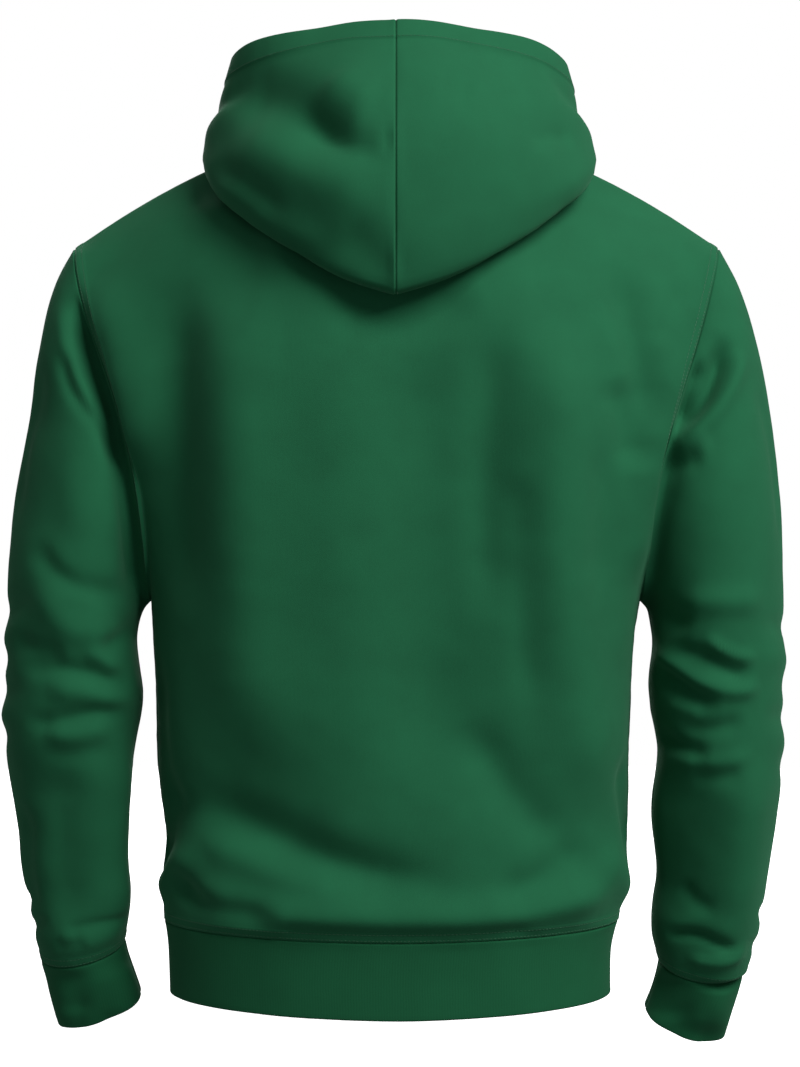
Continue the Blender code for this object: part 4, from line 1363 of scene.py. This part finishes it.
class Nodes:
    """A material's node tree, with short calls that make and join nodes."""

    def __init__(self, name: str) -> None:
        """Starts a material whose surface is one Principled node.

        Args:
            name: The material's name.
        """
        self.material = bpy.data.materials.new(name)
        self.material.use_nodes = True
        self.tree = self.material.node_tree
        self.surface = self.tree.nodes["Principled BSDF"].inputs

    def add(self, kind: str, **values: object) -> bpy.types.Node:
        """Adds a node.

        Args:
            kind: The node's type.
            values: Its own properties.

        Returns:
            The new node.
        """
        node = self.tree.nodes.new(kind)
        for key, value in values.items():
            setattr(node, key, value)
        return node

    def join(self, start: Socket, end: Socket) -> None:
        """Links an output to an input."""
        self.tree.links.new(start, end)

    def cloth_map(self) -> Socket:
        """The place on the cloth in metres, across and down."""
        return self.add("ShaderNodeUVMap", uv_map=CLOTH_MAP).outputs["UV"]

    def place(self) -> Socket:
        """The place in the object in metres."""
        return self.add("ShaderNodeTexCoord").outputs["Object"]

    def parts(self, where: Socket) -> Sequence[Socket]:
        """The three numbers of a place.

        Args:
            where: The place's socket.

        Returns:
            Their sockets.
        """
        node = self.add("ShaderNodeSeparateXYZ")
        self.join(where, node.inputs[0])
        return node.outputs

    def stretched(self, where: Socket, scale: tuple[float, float, float]) -> Socket:
        """A place drawn out along an axis.

        Args:
            where: The place's socket.
            scale: The scale along each axis.

        Returns:
            The new place's socket.
        """
        node = self.add("ShaderNodeMapping")
        node.inputs["Scale"].default_value = scale
        self.join(where, node.inputs["Vector"])
        return node.outputs["Vector"]

    def math(self, operation: str, first: Socket | float, second: Socket | float | None = None) -> Socket:
        """A sum on sockets or numbers.

        Args:
            operation: The node's operation.
            first: A socket or a number.
            second: A socket or a number, if the operation takes two.

        Returns:
            The result's socket.
        """
        node = self.add("ShaderNodeMath", operation=operation)
        for index, value in enumerate((first, second)):
            if isinstance(value, Socket):
                self.join(value, node.inputs[index])
            elif value is not None:
                node.inputs[index].default_value = value
        return node.outputs[0]

    def total(self, *parts: tuple[Socket, float]) -> Socket:
        """Adds sockets up.

        Args:
            parts: Each socket with its weight.

        Returns:
            The sum's socket.
        """
        weighed = [self.math("MULTIPLY", socket, weight) for socket, weight in parts]
        found = weighed[0]
        for other in weighed[1:]:
            found = self.math("ADD", found, other)
        return found

    def arch(self, share: Socket) -> Socket:
        """Half a wave, up and down again over a share from 0 to 1."""
        return self.math("SINE", self.math("MULTIPLY", share, math.pi))

    def noise(self, where: Socket, size: float, detail: float = 2.0, rough: float = 0.5) -> Socket:
        """Adds noise.

        Args:
            where: The place's socket.
            size: How far across its swells are, in metres.
            detail: How many finer swells it has.
            rough: How strong they are.

        Returns:
            Its socket, from 0 to 1.
        """
        node = self.add("ShaderNodeTexNoise")
        self.join(where, node.inputs["Vector"])
        for socket, value in (("Scale", 1 / size), ("Detail", detail), ("Roughness", rough)):
            node.inputs[socket].default_value = value
        return node.outputs["Fac"]

    def drifted(self, where: Socket, size: float, reach: float) -> tuple[Socket, Socket]:
        """Reads the cloth map with its upright lines a little uneven.

        Args:
            where: The cloth map's socket.
            size: How long the uneven stretches are, in metres.
            reach: How far a line strays, in metres.

        Returns:
            The sockets for across and down.
        """
        across, down = self.parts(where)[:2]
        drift = self.math("MULTIPLY", self.math("SUBTRACT", self.noise(where, size), 0.5), reach)
        return self.math("ADD", across, drift), down

    def ramp(self, factor: Socket, stops: Sequence[tuple[float, Colour]]) -> Socket:
        """Picks colours along a factor.

        Args:
            factor: The socket that picks the colour.
            stops: Places and colours, two or more.

        Returns:
            The colour's socket.
        """
        node = self.add("ShaderNodeValToRGB")
        band = node.color_ramp.elements
        while len(band) < len(stops):
            band.new(0.5)
        for element, (place, colour) in zip(band, stops):
            element.position = place
            element.color = (*colour, 1)
        self.join(factor, node.inputs["Fac"])
        return node.outputs["Color"]

    def bump(self, height: Socket, distance: float, strength: float) -> None:
        """Gives the surface a bump.

        Args:
            height: Heights from 0 to 1.
            distance: How far 1 stands above 0, in metres.
            strength: The bump's strength.
        """
        node = self.add("ShaderNodeBump")
        node.inputs["Strength"].default_value = strength
        node.inputs["Distance"].default_value = distance
        self.join(height, node.inputs["Height"])
        self.join(node.outputs["Normal"], self.surface["Normal"])

    def shine(self, **values: object) -> None:
        """Sets the surface's own sockets.

        Args:
            values: The numbers and colours, by the sockets' names with a _ for each space.
        """
        for key, value in values.items():
            self.surface[key.replace("_", " ")].default_value = value


@dataclass
class Finish:
    """A material of the garment, made once and shared by the pieces that wear it."""

    name: str
    slot: str
    colour: Colour
    made: bpy.types.Material | None = field(init=False, default=None)

    def material(self) -> bpy.types.Material:
        """The finish's material.

        Returns:
            The material, which is made when it is first asked for.
        """
        if self.made is None:
            nodes = Nodes(self.name)
            self.dress(nodes)
            self.made = nodes.material
        return self.made

    def paint(self, nodes: Nodes, tone: Socket, stops: Sequence[tuple[float, float]]) -> None:
        """Colours the surface in shades of the finish's colour.

        Args:
            nodes: The material's nodes.
            tone: The socket that picks the shade.
            stops: Places along it, each with the share of the colour's strength there.
        """
        shades = [(place, tuple(channel * share for channel in self.colour)) for place, share in stops]
        nodes.join(nodes.ramp(tone, shades), nodes.surface["Base Color"])

    def dress(self, nodes: Nodes) -> None:
        """Sets the nodes; each finish has its own."""
        raise NotImplementedError


@dataclass
class Fleece(Finish):
    """The knit right side of the fleece: fine rows of loops, a soft bloom and faint mottling."""

    stitch: float = 0.95 * MM
    course: float = 0.72 * MM
    slant: float = 0.8
    drift: tuple[float, float] = (6 * MM, 1.2 * MM)
    fuzz: float = 0.8 * MM
    blotch: float = 34 * MM
    roughness: float = 0.87
    fuzz_roughness: float = 0.08

    def dress(self, nodes: Nodes) -> None:
        """Makes rows of small knit loops from the cloth map, under a fuzz.

        Args:
            nodes: The material's nodes.
        """
        cloth = nodes.cloth_map()
        place = nodes.place()
        across, down = nodes.drifted(cloth, *self.drift)
        wale = nodes.math("PINGPONG", nodes.math("DIVIDE", across, self.stitch), 0.5)
        course = nodes.math("DIVIDE", down, self.course)
        row = nodes.math("ADD", course, nodes.math("MULTIPLY", wale, self.slant))
        loop = nodes.arch(nodes.math("FRACT", row))
        knit = nodes.math("MULTIPLY", loop, nodes.arch(wale))
        fuzz = nodes.noise(place, self.fuzz, 3, 0.65)
        blotch = nodes.noise(place, self.blotch, 3, 0.55)
        self.paint(nodes, nodes.total((blotch, 0.45), (fuzz, 0.55)), ((0.2, 0.82), (0.52, 1), (0.85, 1.16)))
        rough = nodes.math("ADD", nodes.math("MULTIPLY", fuzz, self.fuzz_roughness), self.roughness)
        nodes.join(rough, nodes.surface["Roughness"])
        nodes.shine(Specular_IOR_Level=0.22)
        nodes.shine(Sheen_Weight=0.12, Sheen_Roughness=0.45, Sheen_Tint=(0.3, 0.85, 0.5, 1))
        nodes.bump(nodes.total((knit, 0.5), (fuzz, 0.8)), 0.16 * MM, 0.55)


@dataclass
class Brushed(Finish):
    """The brushed wrong side: a soft nap of short fibres without visible stitches."""

    fibre: float = 0.55 * MM
    tuft: float = 3.2 * MM

    def dress(self, nodes: Nodes) -> None:
        """Makes fibres as noise drawn out along the cloth, and tufts a few millimetres across.

        Args:
            nodes: The material's nodes.
        """
        drawn = nodes.stretched(nodes.cloth_map(), (1.0, 0.35, 1.0))
        fibre = nodes.noise(drawn, self.fibre, 5, 0.7)
        tuft = nodes.noise(nodes.place(), self.tuft, 3, 0.6)
        height = nodes.total((fibre, 0.6), (tuft, 0.5))
        self.paint(nodes, height, ((0.3, 0.76), (0.55, 1), (0.8, 1.22)))
        nodes.shine(Roughness=0.96, Specular_IOR_Level=0.15)
        nodes.shine(Sheen_Weight=0.25, Sheen_Roughness=0.5, Sheen_Tint=(0.35, 0.85, 0.55, 1))
        nodes.bump(height, 0.5 * MM, 0.7)


@dataclass
class Ribbing(Finish):
    """The ribbed knit of the cuffs and the band: fine upright ribs, closely packed."""

    rib: float = 2.1 * MM
    course: float = 0.8 * MM
    drift: tuple[float, float] = (14 * MM, 1.6 * MM)
    fuzz: float = 0.8 * MM
    blotch: float = 26 * MM

    def dress(self, nodes: Nodes) -> None:
        """Makes upright ribs from the cloth map, with fine stitches on them and painted shade in their
        valleys.

        Args:
            nodes: The material's nodes.
        """
        cloth = nodes.cloth_map()
        place = nodes.place()
        across, down = nodes.drifted(cloth, *self.drift)
        turn = nodes.math("MULTIPLY", nodes.math("DIVIDE", across, self.rib), 2 * math.pi)
        ribs = nodes.math("ADD", nodes.math("MULTIPLY", nodes.math("SINE", turn), 0.5), 0.5)
        half = nodes.math("PINGPONG", nodes.math("DIVIDE", across, self.rib / 2), 0.5)
        row = nodes.math("ADD", nodes.math("DIVIDE", down, self.course), half)
        stitch = nodes.arch(nodes.math("FRACT", row))
        fuzz = nodes.noise(place, self.fuzz, 3, 0.65)
        blotch = nodes.noise(place, self.blotch, 3, 0.55)
        height = nodes.total((ribs, 0.3), (stitch, 0.16), (fuzz, 0.3))
        # The colour follows the ribs' and stitches' height: painted shade in the valleys between them, with
        # random mottling from the blotch and the fuzz.
        self.paint(nodes, nodes.total((height, 0.6), (blotch, 0.35)), ((0.1, 0.84), (0.4, 1), (0.75, 1.12)))
        nodes.shine(Roughness=0.9, Specular_IOR_Level=0.2)
        nodes.shine(Sheen_Weight=0.08, Sheen_Roughness=0.45, Sheen_Tint=(0.3, 0.85, 0.5, 1))
        nodes.bump(height, 0.22 * MM, 0.4)


@dataclass
class Webbing(Finish):
    """The woven tape of the zip, in a fine herringbone."""

    pitch: float = 0.62 * MM
    stripe: float = 1.8 * MM
    fuzz: float = 0.3 * MM

    def dress(self, nodes: Nodes) -> None:
        """Makes slanting threads that turn back at each stripe of the weave, with painted shade between
        them.

        Args:
            nodes: The material's nodes.
        """
        across, down = nodes.parts(nodes.cloth_map())[:2]
        stripe = nodes.math("PINGPONG", across, self.stripe)
        slant = nodes.math("DIVIDE", nodes.math("ADD", down, stripe), self.pitch)
        thread = nodes.arch(nodes.math("FRACT", slant))
        fuzz = nodes.noise(nodes.place(), self.fuzz, 3, 0.6)
        height = nodes.total((thread, 0.7), (fuzz, 0.3))
        # The colour follows the threads' height: painted shade in the grooves between the threads, with
        # random tone from the fuzz.
        self.paint(nodes, height, ((0.1, 0.6), (0.6, 1), (0.95, 1.3)))
        nodes.shine(Roughness=0.72, Specular_IOR_Level=0.35)
        nodes.bump(height, 0.15 * MM, 0.8)


@dataclass
class Thread(Finish):
    """Spun sewing thread, with its twist."""

    twist: float = 0.35 * MM

    def dress(self, nodes: Nodes) -> None:
        """Makes a soft sheen and a fine twist.

        Args:
            nodes: The material's nodes.
        """
        twist = nodes.noise(nodes.place(), self.twist, 2, 0.5)
        self.paint(nodes, twist, ((0.3, 0.75), (0.7, 1.25)))
        nodes.shine(Roughness=0.6, Sheen_Weight=0.2)
        nodes.bump(twist, 0.08 * MM, 0.6)


@dataclass
class Metal(Finish):
    """Brushed metal with fine scratches and smears."""

    scratch: float = 0.22 * MM
    smear: float = 3 * MM
    roughness: float = 0.2
    smear_roughness: float = 0.26

    def dress(self, nodes: Nodes) -> None:
        """Makes long scratches, smears in the polish and a little tarnish.

        Args:
            nodes: The material's nodes.
        """
        place = nodes.place()
        scratch = nodes.noise(nodes.stretched(place, (1.0, 1.0, 0.08)), self.scratch, 4, 0.7)
        smear = nodes.noise(place, self.smear, 3, 0.6)
        self.paint(nodes, smear, ((0.25, 0.7), (0.6, 1), (0.9, 1.12)))
        rough = nodes.math("ADD", nodes.math("MULTIPLY", smear, self.smear_roughness), self.roughness)
        nodes.join(rough, nodes.surface["Roughness"])
        nodes.shine(Metallic=1.0)
        nodes.bump(scratch, 0.05 * MM, 0.5)


class Block(NamedTuple):
    """A box with bevelled edges between two corners, in millimetres."""

    low: Place
    high: Place
    bevel: float


def add_block(mesh: bmesh.types.BMesh, block: Block, segments: int, place: Matrix | None = None) -> None:
    """Adds a box with bevelled edges.

    Args:
        mesh: The bmesh that gets the box.
        block: Its corners and bevel.
        segments: How round the bevel is.
        place: The frame that the corners are given in, if it isn't the mesh's own.
    """
    before = len(mesh.verts)
    low, high = Vector(block.low) * MM, Vector(block.high) * MM
    corners = bmesh.ops.create_cube(mesh, size=1)["verts"]
    bmesh.ops.scale(mesh, vec=high - low, verts=corners)
    bmesh.ops.translate(mesh, vec=(low + high) / 2, verts=corners)
    edges = [edge for edge in mesh.edges if edge.verts[0] in corners]
    bmesh.ops.bevel(
        mesh,
        geom=edges,
        offset=block.bevel * MM,
        segments=segments,
        profile=0.5,
        affect="EDGES",
        material=-1,
    )
    if place is not None:
        mesh.verts.ensure_lookup_table()
        bmesh.ops.transform(mesh, matrix=place, verts=mesh.verts[before:])


@dataclass
class Zip:
    """The closed zip in the middle of the front: two tapes, two rows of teeth, stops, pin and box."""

    front: Pattern
    band: Pattern
    gap: float = 0.3 * MM
    beside_slider: float = 2.2 * MM
    inner: float = 0.8 * MM
    outer: float = 17 * MM
    top: float = 3 * MM
    slider_down: float = 12.5 * MM
    slider_length: float = 13 * MM
    pitch: float = 2.5 * MM
    first_tooth: float = 1.0 * MM
    tooth: Block = Block((-0.9, -0.575, -1.15), (3.4, 0.575, 1.15), 0.28)
    stops: tuple[Block, Block] = (
        Block((1.5, -1.4, -1.3), (4.2, 1.4, 1.3), 0.5),
        Block((-4.2, -1.4, -1.3), (-1.5, 1.4, 1.3), 0.5),
    )
    stop_up: float = 2.4 * MM
    box: Block = Block((-5.2, -3.9, -1.6), (5.2, 2.5, 1.6), 0.6)
    pin: Block = Block((0.7, 2.1, -0.9), (2.7, 5.9, 0.9), 0.4)
    box_length: float = 9 * MM
    reads: int = 600
    middle: np.ndarray = field(init=False)
    out: np.ndarray = field(init=False)
    run: np.ndarray = field(init=False)

    def __post_init__(self) -> None:
        """Works out the middle of the zip from top to bottom: places, ways out and lengths."""
        strip = self.strip(Side.LEFT)
        places = strip.points[:, 0] - strip.ways[:, 0] * Stuff.TAPE.value / 2
        places[:, 0] = 0
        self.middle = spline(range(len(places)), places, np.linspace(0, len(places) - 1, self.reads))
        self.out = np.cross((1.0, 0.0, 0.0), -unit(np.gradient(self.middle, axis=0)))
        self.run = run_length(self.middle)

    def strip(self, side: Side) -> Pattern:
        """Draws one tape behind the edge of the front and of the band below it.

        Args:
            side: The wearer's left or right.

        Returns:
            The tape's coarse grid.
        """
        rows = np.concatenate([self.front.points[:-1, :2], self.band.points[:, :2]])
        ways = np.concatenate([self.front.ways[:-1, :2], self.band.ways[:, :2]])
        behind = np.full(len(rows), Stuff.RIB.value)
        behind[: len(self.front.points) - 2] = Stuff.FLEECE.value
        first = rows[:, 0].copy()
        slope = (rows[:, 1] - first) / np.abs(rows[:, 1, 0] - first[:, 0])[:, None]
        inner = first.copy()
        by_slider = run_length(first) < self.slider_down + self.slider_length
        inner[:, 0] = np.where(by_slider, self.beside_slider, self.inner)
        outer = first + slope * (self.outer - first[:, 0])[:, None]
        strip = np.stack([inner, first, outer], axis=1)
        out = np.repeat(ways[:, :1], 3, axis=1)
        out[..., 0] = 0
        strip -= unit(out) * (behind + self.gap)[:, None, None]
        strip[0] += unit(strip[1] - strip[0]) * self.top
        strip[..., 0] *= side.value
        return Pattern(strip, side is Side.LEFT)

    def at(self, length: float) -> Matrix:
        """Finds a place on the zip.

        Args:
            length: How far down it is.

        Returns:
            The frame there: X across, Y up the zip and Z out.
        """
        place = read_at(length, self.run, self.middle)
        way = read_at(length, self.run, self.out).normalized()
        across = Vector((1, 0, 0))
        turned = Matrix((across, way.cross(across), way)).transposed().to_4x4()
        return Matrix.Translation(place) @ turned

    def teeth(self, side: Side, metal: Finish) -> bpy.types.Object:
        """Makes one side's row of teeth below the slider.

        Args:
            side: The wearer's left or right.
            metal: Their finish.

        Returns:
            The row.
        """
        single = bmesh.new()
        add_block(single, self.tooth, 1)
        shape = mesh_data("tooth", single)
        mesh = bmesh.new()
        start = self.slider_down + self.slider_length / 2 + self.first_tooth
        if side is Side.RIGHT:
            start += self.pitch / 2
        for length in np.arange(start, self.run[-1] - self.box_length, self.pitch):
            stamp(mesh, shape, self.at(float(length)) @ Matrix.Diagonal((side.value, 1, 1, 1)))
        bpy.data.meshes.remove(shape)
        bmesh.ops.recalc_face_normals(mesh, faces=mesh.faces)
        return garment_piece("zip_teeth_" + side.name.lower(), mesh, (metal,))

    def ends(self, metal: Finish) -> bpy.types.Object:
        """Makes the two stops above the slider, and the pin and box at the hem.

        Args:
            metal: Their finish.

        Returns:
            The one piece that they make up.
        """
        mesh = bmesh.new()
        above = self.at(self.slider_down - self.slider_length / 2 - self.stop_up)
        foot = self.at(float(self.run[-1]) - self.box_length / 2)
        for block in self.stops:
            add_block(mesh, block, 2, above)
        for block in (self.box, self.pin):
            add_block(mesh, block, 2, foot)
        bmesh.ops.recalc_face_normals(mesh, faces=mesh.faces)
        return garment_piece("zip_stops", mesh, (metal,))


@dataclass
class Stitching:
    """Lines of sewn stitches, each a short bead of thread pressed into the cloth."""

    thread: Finish
    length: float = 2.3 * MM
    pitch: float = 3.0 * MM
    radius: tuple[float, float] = (0.3 * MM, 0.2 * MM)
    proud: float = 0.1 * MM
    segments: int = 6
    rings: int = 4

    def bead(self) -> bpy.types.Mesh:
        """Makes one stitch.

        Returns:
            Its mesh, long in X.
        """
        mesh = bmesh.new()
        size = Matrix.Diagonal((self.length / 2, *self.radius, 1)) @ Matrix.Rotation(math.pi / 2, 4, "Y")
        bmesh.ops.create_uvsphere(
            mesh, u_segments=self.segments, v_segments=self.rings, radius=1, matrix=size
        )
        return mesh_data("bead", mesh)

    def sew(self, cloth: Cloth) -> bpy.types.Object | None:
        """Sews every needle line of a piece of cloth.

        Args:
            cloth: The piece, with its final shape.

        Returns:
            Its stitches, if it has any.
        """
        lines = cloth.needle_lines()
        if not lines:
            return None
        bead = self.bead()
        mesh = bmesh.new()
        for points, ways in lines:
            run = run_length(points)
            for length in np.arange(self.pitch, run[-1] - self.pitch / 2, self.pitch):
                start = read_at(length - self.length / 2, run, points)
                end = read_at(length + self.length / 2, run, points)
                along = (end - start).normalized()
                side = read_at(length, run, ways).cross(along).normalized()
                out = along.cross(side)
                turned = Matrix((along, side, out)).transposed().to_4x4()
                stamp(mesh, bead, Matrix.Translation((start + end) / 2 + out * self.proud) @ turned)
        bpy.data.meshes.remove(bead)
        return garment_piece("stitches_" + cloth.name, mesh, (self.thread,))


@dataclass
class Studio:
    """The pale floor, the soft light and the camera behind the garment."""

    eye: Place = (-0.0032, 2.2, -0.323)
    target: Place = (-0.0032, 0.0, -0.323)
    view_height: float = 0.8536
    sensor: float = 36.0
    floor_z: float = -0.76
    floor_radius: float = 3.0
    floor_edges: int = 96
    floor_mottle: float = 0.4
    floor_tones: tuple[float, float] = (0.86, 0.9)
    floor_glow: float = 0.8
    sky: float = 0.2
    key_power: float = 108.0
    key_size: float = 1.7
    key_place: Place = (-1.56, 1.84, 1.72)
    fill_power: float = 60.0
    fill_size: float = 1.8
    fill_place: Place = (0.3, -2.6, 1.0)

    def aim(self, made: bpy.types.Object, place: Place) -> None:
        """Puts a light or the camera in its place and turns it to the garment.

        Args:
            made: The light or the camera.
            place: Where it stands.
        """
        made.location = place
        made.rotation_euler = (Vector(self.target) - Vector(place)).to_track_quat("-Z", "Y").to_euler()

    def floor(self) -> None:
        """Lays a large pale disc below the garment."""
        mesh = bmesh.new()
        bmesh.ops.create_circle(mesh, cap_ends=True, segments=self.floor_edges, radius=self.floor_radius)
        bmesh.ops.translate(mesh, vec=(0, 0, self.floor_z), verts=mesh.verts)
        nodes = Nodes("floor_paint")
        tone = nodes.noise(nodes.place(), self.floor_mottle, 3, 0.5)
        pale = nodes.ramp(tone, [(place, (grey,) * 3) for place, grey in enumerate(self.floor_tones)])
        nodes.join(pale, nodes.surface["Base Color"])
        nodes.shine(Roughness=0.95, Specular_IOR_Level=0.0)
        nodes.shine(Emission_Color=(1, 1, 1, 1), Emission_Strength=self.floor_glow)
        data = mesh_data("floor", mesh)
        data.materials.append(nodes.material)
        made = linked("floor", data)
        made.visible_diffuse = False
        made.visible_glossy = False

    def area_light(self, name: str, place: Place, size: float, power: float) -> None:
        """Hangs a soft square light that points at the garment.

        Args:
            name: The light's name.
            place: Where it hangs.
            size: Its side, in metres.
            power: Its power, in watts.
        """
        data = bpy.data.lights.new(name, "AREA")
        data.size = size
        data.energy = power
        self.aim(linked(name, data), place)

    def light(self) -> None:
        """Makes white surroundings, a large light beside the camera and a weaker one for the front."""
        world = bpy.data.worlds.new("studio")
        world.use_nodes = True
        tree = world.node_tree
        back = tree.nodes["Background"]
        path = tree.nodes.new("ShaderNodeLightPath")
        strength = tree.nodes.new("ShaderNodeMapRange")
        strength.inputs["To Min"].default_value = self.sky
        strength.inputs["To Max"].default_value = 1.0
        tree.links.new(path.outputs["Is Camera Ray"], strength.inputs["Value"])
        back.inputs["Color"].default_value = (1, 1, 1, 1)
        tree.links.new(strength.outputs["Result"], back.inputs["Strength"])
        bpy.context.scene.world = world
        self.area_light("key", self.key_place, self.key_size, self.key_power)
        self.area_light("front_fill", self.fill_place, self.fill_size, self.fill_power)

    def camera(self) -> None:
        """Puts the camera where the photograph was taken from."""
        data = bpy.data.cameras.new("camera")
        distance = (Vector(self.eye) - Vector(self.target)).length
        data.sensor_width = self.sensor
        data.lens = self.sensor * distance / self.view_height
        made = linked("camera", data)
        self.aim(made, self.eye)
        bpy.context.scene.camera = made

    def build(self) -> None:
        """Sets everything up."""
        self.camera()
        self.floor()
        self.light()
        bpy.context.scene.view_settings.view_transform = "Standard"


def finish_field(make: type[Finish], name: str, slot: str, colour: Colour) -> Finish:
    """A dataclass field that holds a finish of its own for each garment."""
    return field(default_factory=lambda: make(name, slot, colour))


@dataclass
class Garment:
    """The whole hoodie, piece by piece."""

    fleece: Finish = finish_field(Fleece, "green_fleece", "fleece", (0.0105, 0.118, 0.049))
    brushed: Finish = finish_field(Brushed, "green_fleece_inside", "fleece", (0.012, 0.135, 0.055))
    # The rib's colour is darker than the fleece's: partly the rib knit's own look, partly painted shade on
    # the hem band and cuffs.
    rib: Finish = finish_field(Ribbing, "green_rib", "rib", (0.0075, 0.1, 0.039))
    tape: Finish = finish_field(Webbing, "green_tape", "zip_tape", (0.008, 0.07, 0.03))
    thread: Finish = finish_field(Thread, "green_thread", "fleece", (0.009, 0.105, 0.042))
    metal: Finish = finish_field(Metal, "zip_metal_finish", "zip_metal", (0.55, 0.56, 0.58))
    form: Body = field(default_factory=Body)
    swells: tuple[tuple[float, float], ...] = ((62, 1.6), (21, 0.28))
    hood_clearance: float = 104 * MM
    nearest: float = 0.01 * MM
    evening: int = 4
    quick_spacing: float = 6.4 * MM
    patterns: dict[str, Pattern] = field(init=False)

    def __post_init__(self) -> None:
        """Makes the coarse grids and lets neighbours meet."""
        self.patterns = dict(self.form.patterns)
        self.patterns.update(Sleeve(Side.LEFT, LEFT_TUBE, LEFT_CUFF, self.form).patterns)
        self.patterns.update(Sleeve(Side.RIGHT, RIGHT_TUBE, RIGHT_CUFF, self.form).patterns)
        self.patterns.update(Hood(self.form).patterns)
        share_ways(list(self.patterns.values()), self.evening, self.nearest)

    def faces(self, stuff: Stuff) -> tuple[Finish, Finish]:
        """The finishes of the right and the wrong side of what a piece is cut from."""
        both = {Stuff.FLEECE: (self.fleece, self.brushed), Stuff.RIB: (self.rib, self.rib)}
        return both.get(stuff, (self.tape, self.tape))

    def cloth(self, node: str, kind: Kind, seed: int) -> Cloth:
        """Cuts one piece of cloth.

        Args:
            node: The solid that it stands for.
            kind: Which kind of piece it is.
            seed: Which of many uneven surfaces it gets.

        Returns:
            The piece, without creases.
        """
        cut = kind.value
        made = Cloth(
            node,
            self.patterns[node],
            cut,
            *self.faces(cut.stuff),
            corner=self.form.armhole_steps if cut.panel else None,
            seed=seed,
            spacing=Cloth.spacing,
        )
        return made

    def finish_piece(self, piece: Cloth) -> None:
        """Makes a piece of cloth uneven, builds it and sews it.

        Args:
            piece: The piece with its creases.
        """
        for seed, (size, height) in enumerate(self.swells, 1):
            piece.ripple(size, height, seed)
        piece.build()
        Stitching(self.thread).sew(piece)

    def body(self) -> None:
        """Makes the back, the fronts and the band."""
        sides = ((LEFT_SIDE_CREASES, Facing.LEFT), (RIGHT_SIDE_CREASES, Facing.RIGHT))
        panels = (
            ("back_panel", Kind.BACK, BACK_CREASES, Facing.BACK),
            ("front_left", Kind.FRONT, FRONT_CREASES, Facing.FRONT),
            ("front_right", Kind.FRONT, FRONT_CREASES, Facing.FRONT),
        )
        for seed, (node, kind, creases, facing) in enumerate(panels, 1):
            panel = self.cloth(node, kind, seed)
            for table, way in ((creases, facing), *sides):
                panel.crease(table, way)
            self.finish_piece(panel)
        self.finish_piece(self.cloth("hem_band", Kind.BAND, 4))

    def sleeves(self) -> None:
        """Makes the sleeves and their cuffs."""
        limbs = (
            (Side.LEFT, LEFT_SLEEVE_CREASES, LEFT_CUFF_CREASES, LEFT_OUTER_CREASES, Facing.LEFT),
            (Side.RIGHT, RIGHT_SLEEVE_CREASES, RIGHT_CUFF_CREASES, RIGHT_OUTER_CREASES, Facing.RIGHT),
        )
        for seed, (side, back_creases, cuff_creases, outer_creases, outwards) in enumerate(limbs, 5):
            end = side.name.lower()
            sleeve = self.cloth("sleeve_" + end, Kind.SLEEVE, seed)
            sleeve.crease(back_creases, Facing.BACK)
            sleeve.crease(SLEEVE_FRONT_CREASES, Facing.FRONT, side is Side.RIGHT)
            sleeve.crease(outer_creases, outwards)
            self.finish_piece(sleeve)
            cuff = self.cloth("cuff_" + end, Kind.CUFF, seed + len(limbs))
            cuff.crease(cuff_creases, Facing.BACK)
            self.finish_piece(cuff)

    def hood(self) -> None:
        """Makes the two halves of the hood."""
        for seed, side in enumerate(Side, 9):
            half = self.cloth("hood_" + side.name.lower(), Kind.HOOD, seed)
            half.crease(HOOD_CREASES, Facing.BACK, beyond=self.hood_clearance)
            half.crease(HOOD_SIDE_CREASES, Facing.LEFT, beyond=self.hood_clearance)
            half.crease(HOOD_SIDE_CREASES, Facing.RIGHT, beyond=self.hood_clearance)
            self.finish_piece(half)

    def fastening(self) -> None:
        """Makes the zip, and dresses its carried-over slider and tab in metal."""
        fastener = Zip(self.patterns["front_left"], self.patterns["hem_band"])
        for seed, side in enumerate(Side, 11):
            node = "zip_tape_" + side.name.lower()
            self.patterns[node] = fastener.strip(side)
            self.cloth(node, Kind.TAPE, seed).build()
            fastener.teeth(side, self.metal)
        fastener.ends(self.metal)
        for node in ("zip_slider", "zip_pull_tab"):
            for slot in bpy.data.objects[node].material_slots:
                slot.material = self.metal.material()
            LOG.info("%s: dressed", node)

    def build(self) -> None:
        """Builds the garment in the order in which it is sewn."""
        self.body()
        self.sleeves()
        self.hood()
        self.fastening()


def main() -> None:
    """Builds the studio and the garment."""
    logging.basicConfig(level=logging.INFO, format="%(name)s: %(message)s")
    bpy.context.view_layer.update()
    Studio().build()
    Garment().build()


if __name__ == "__main__":
    main()
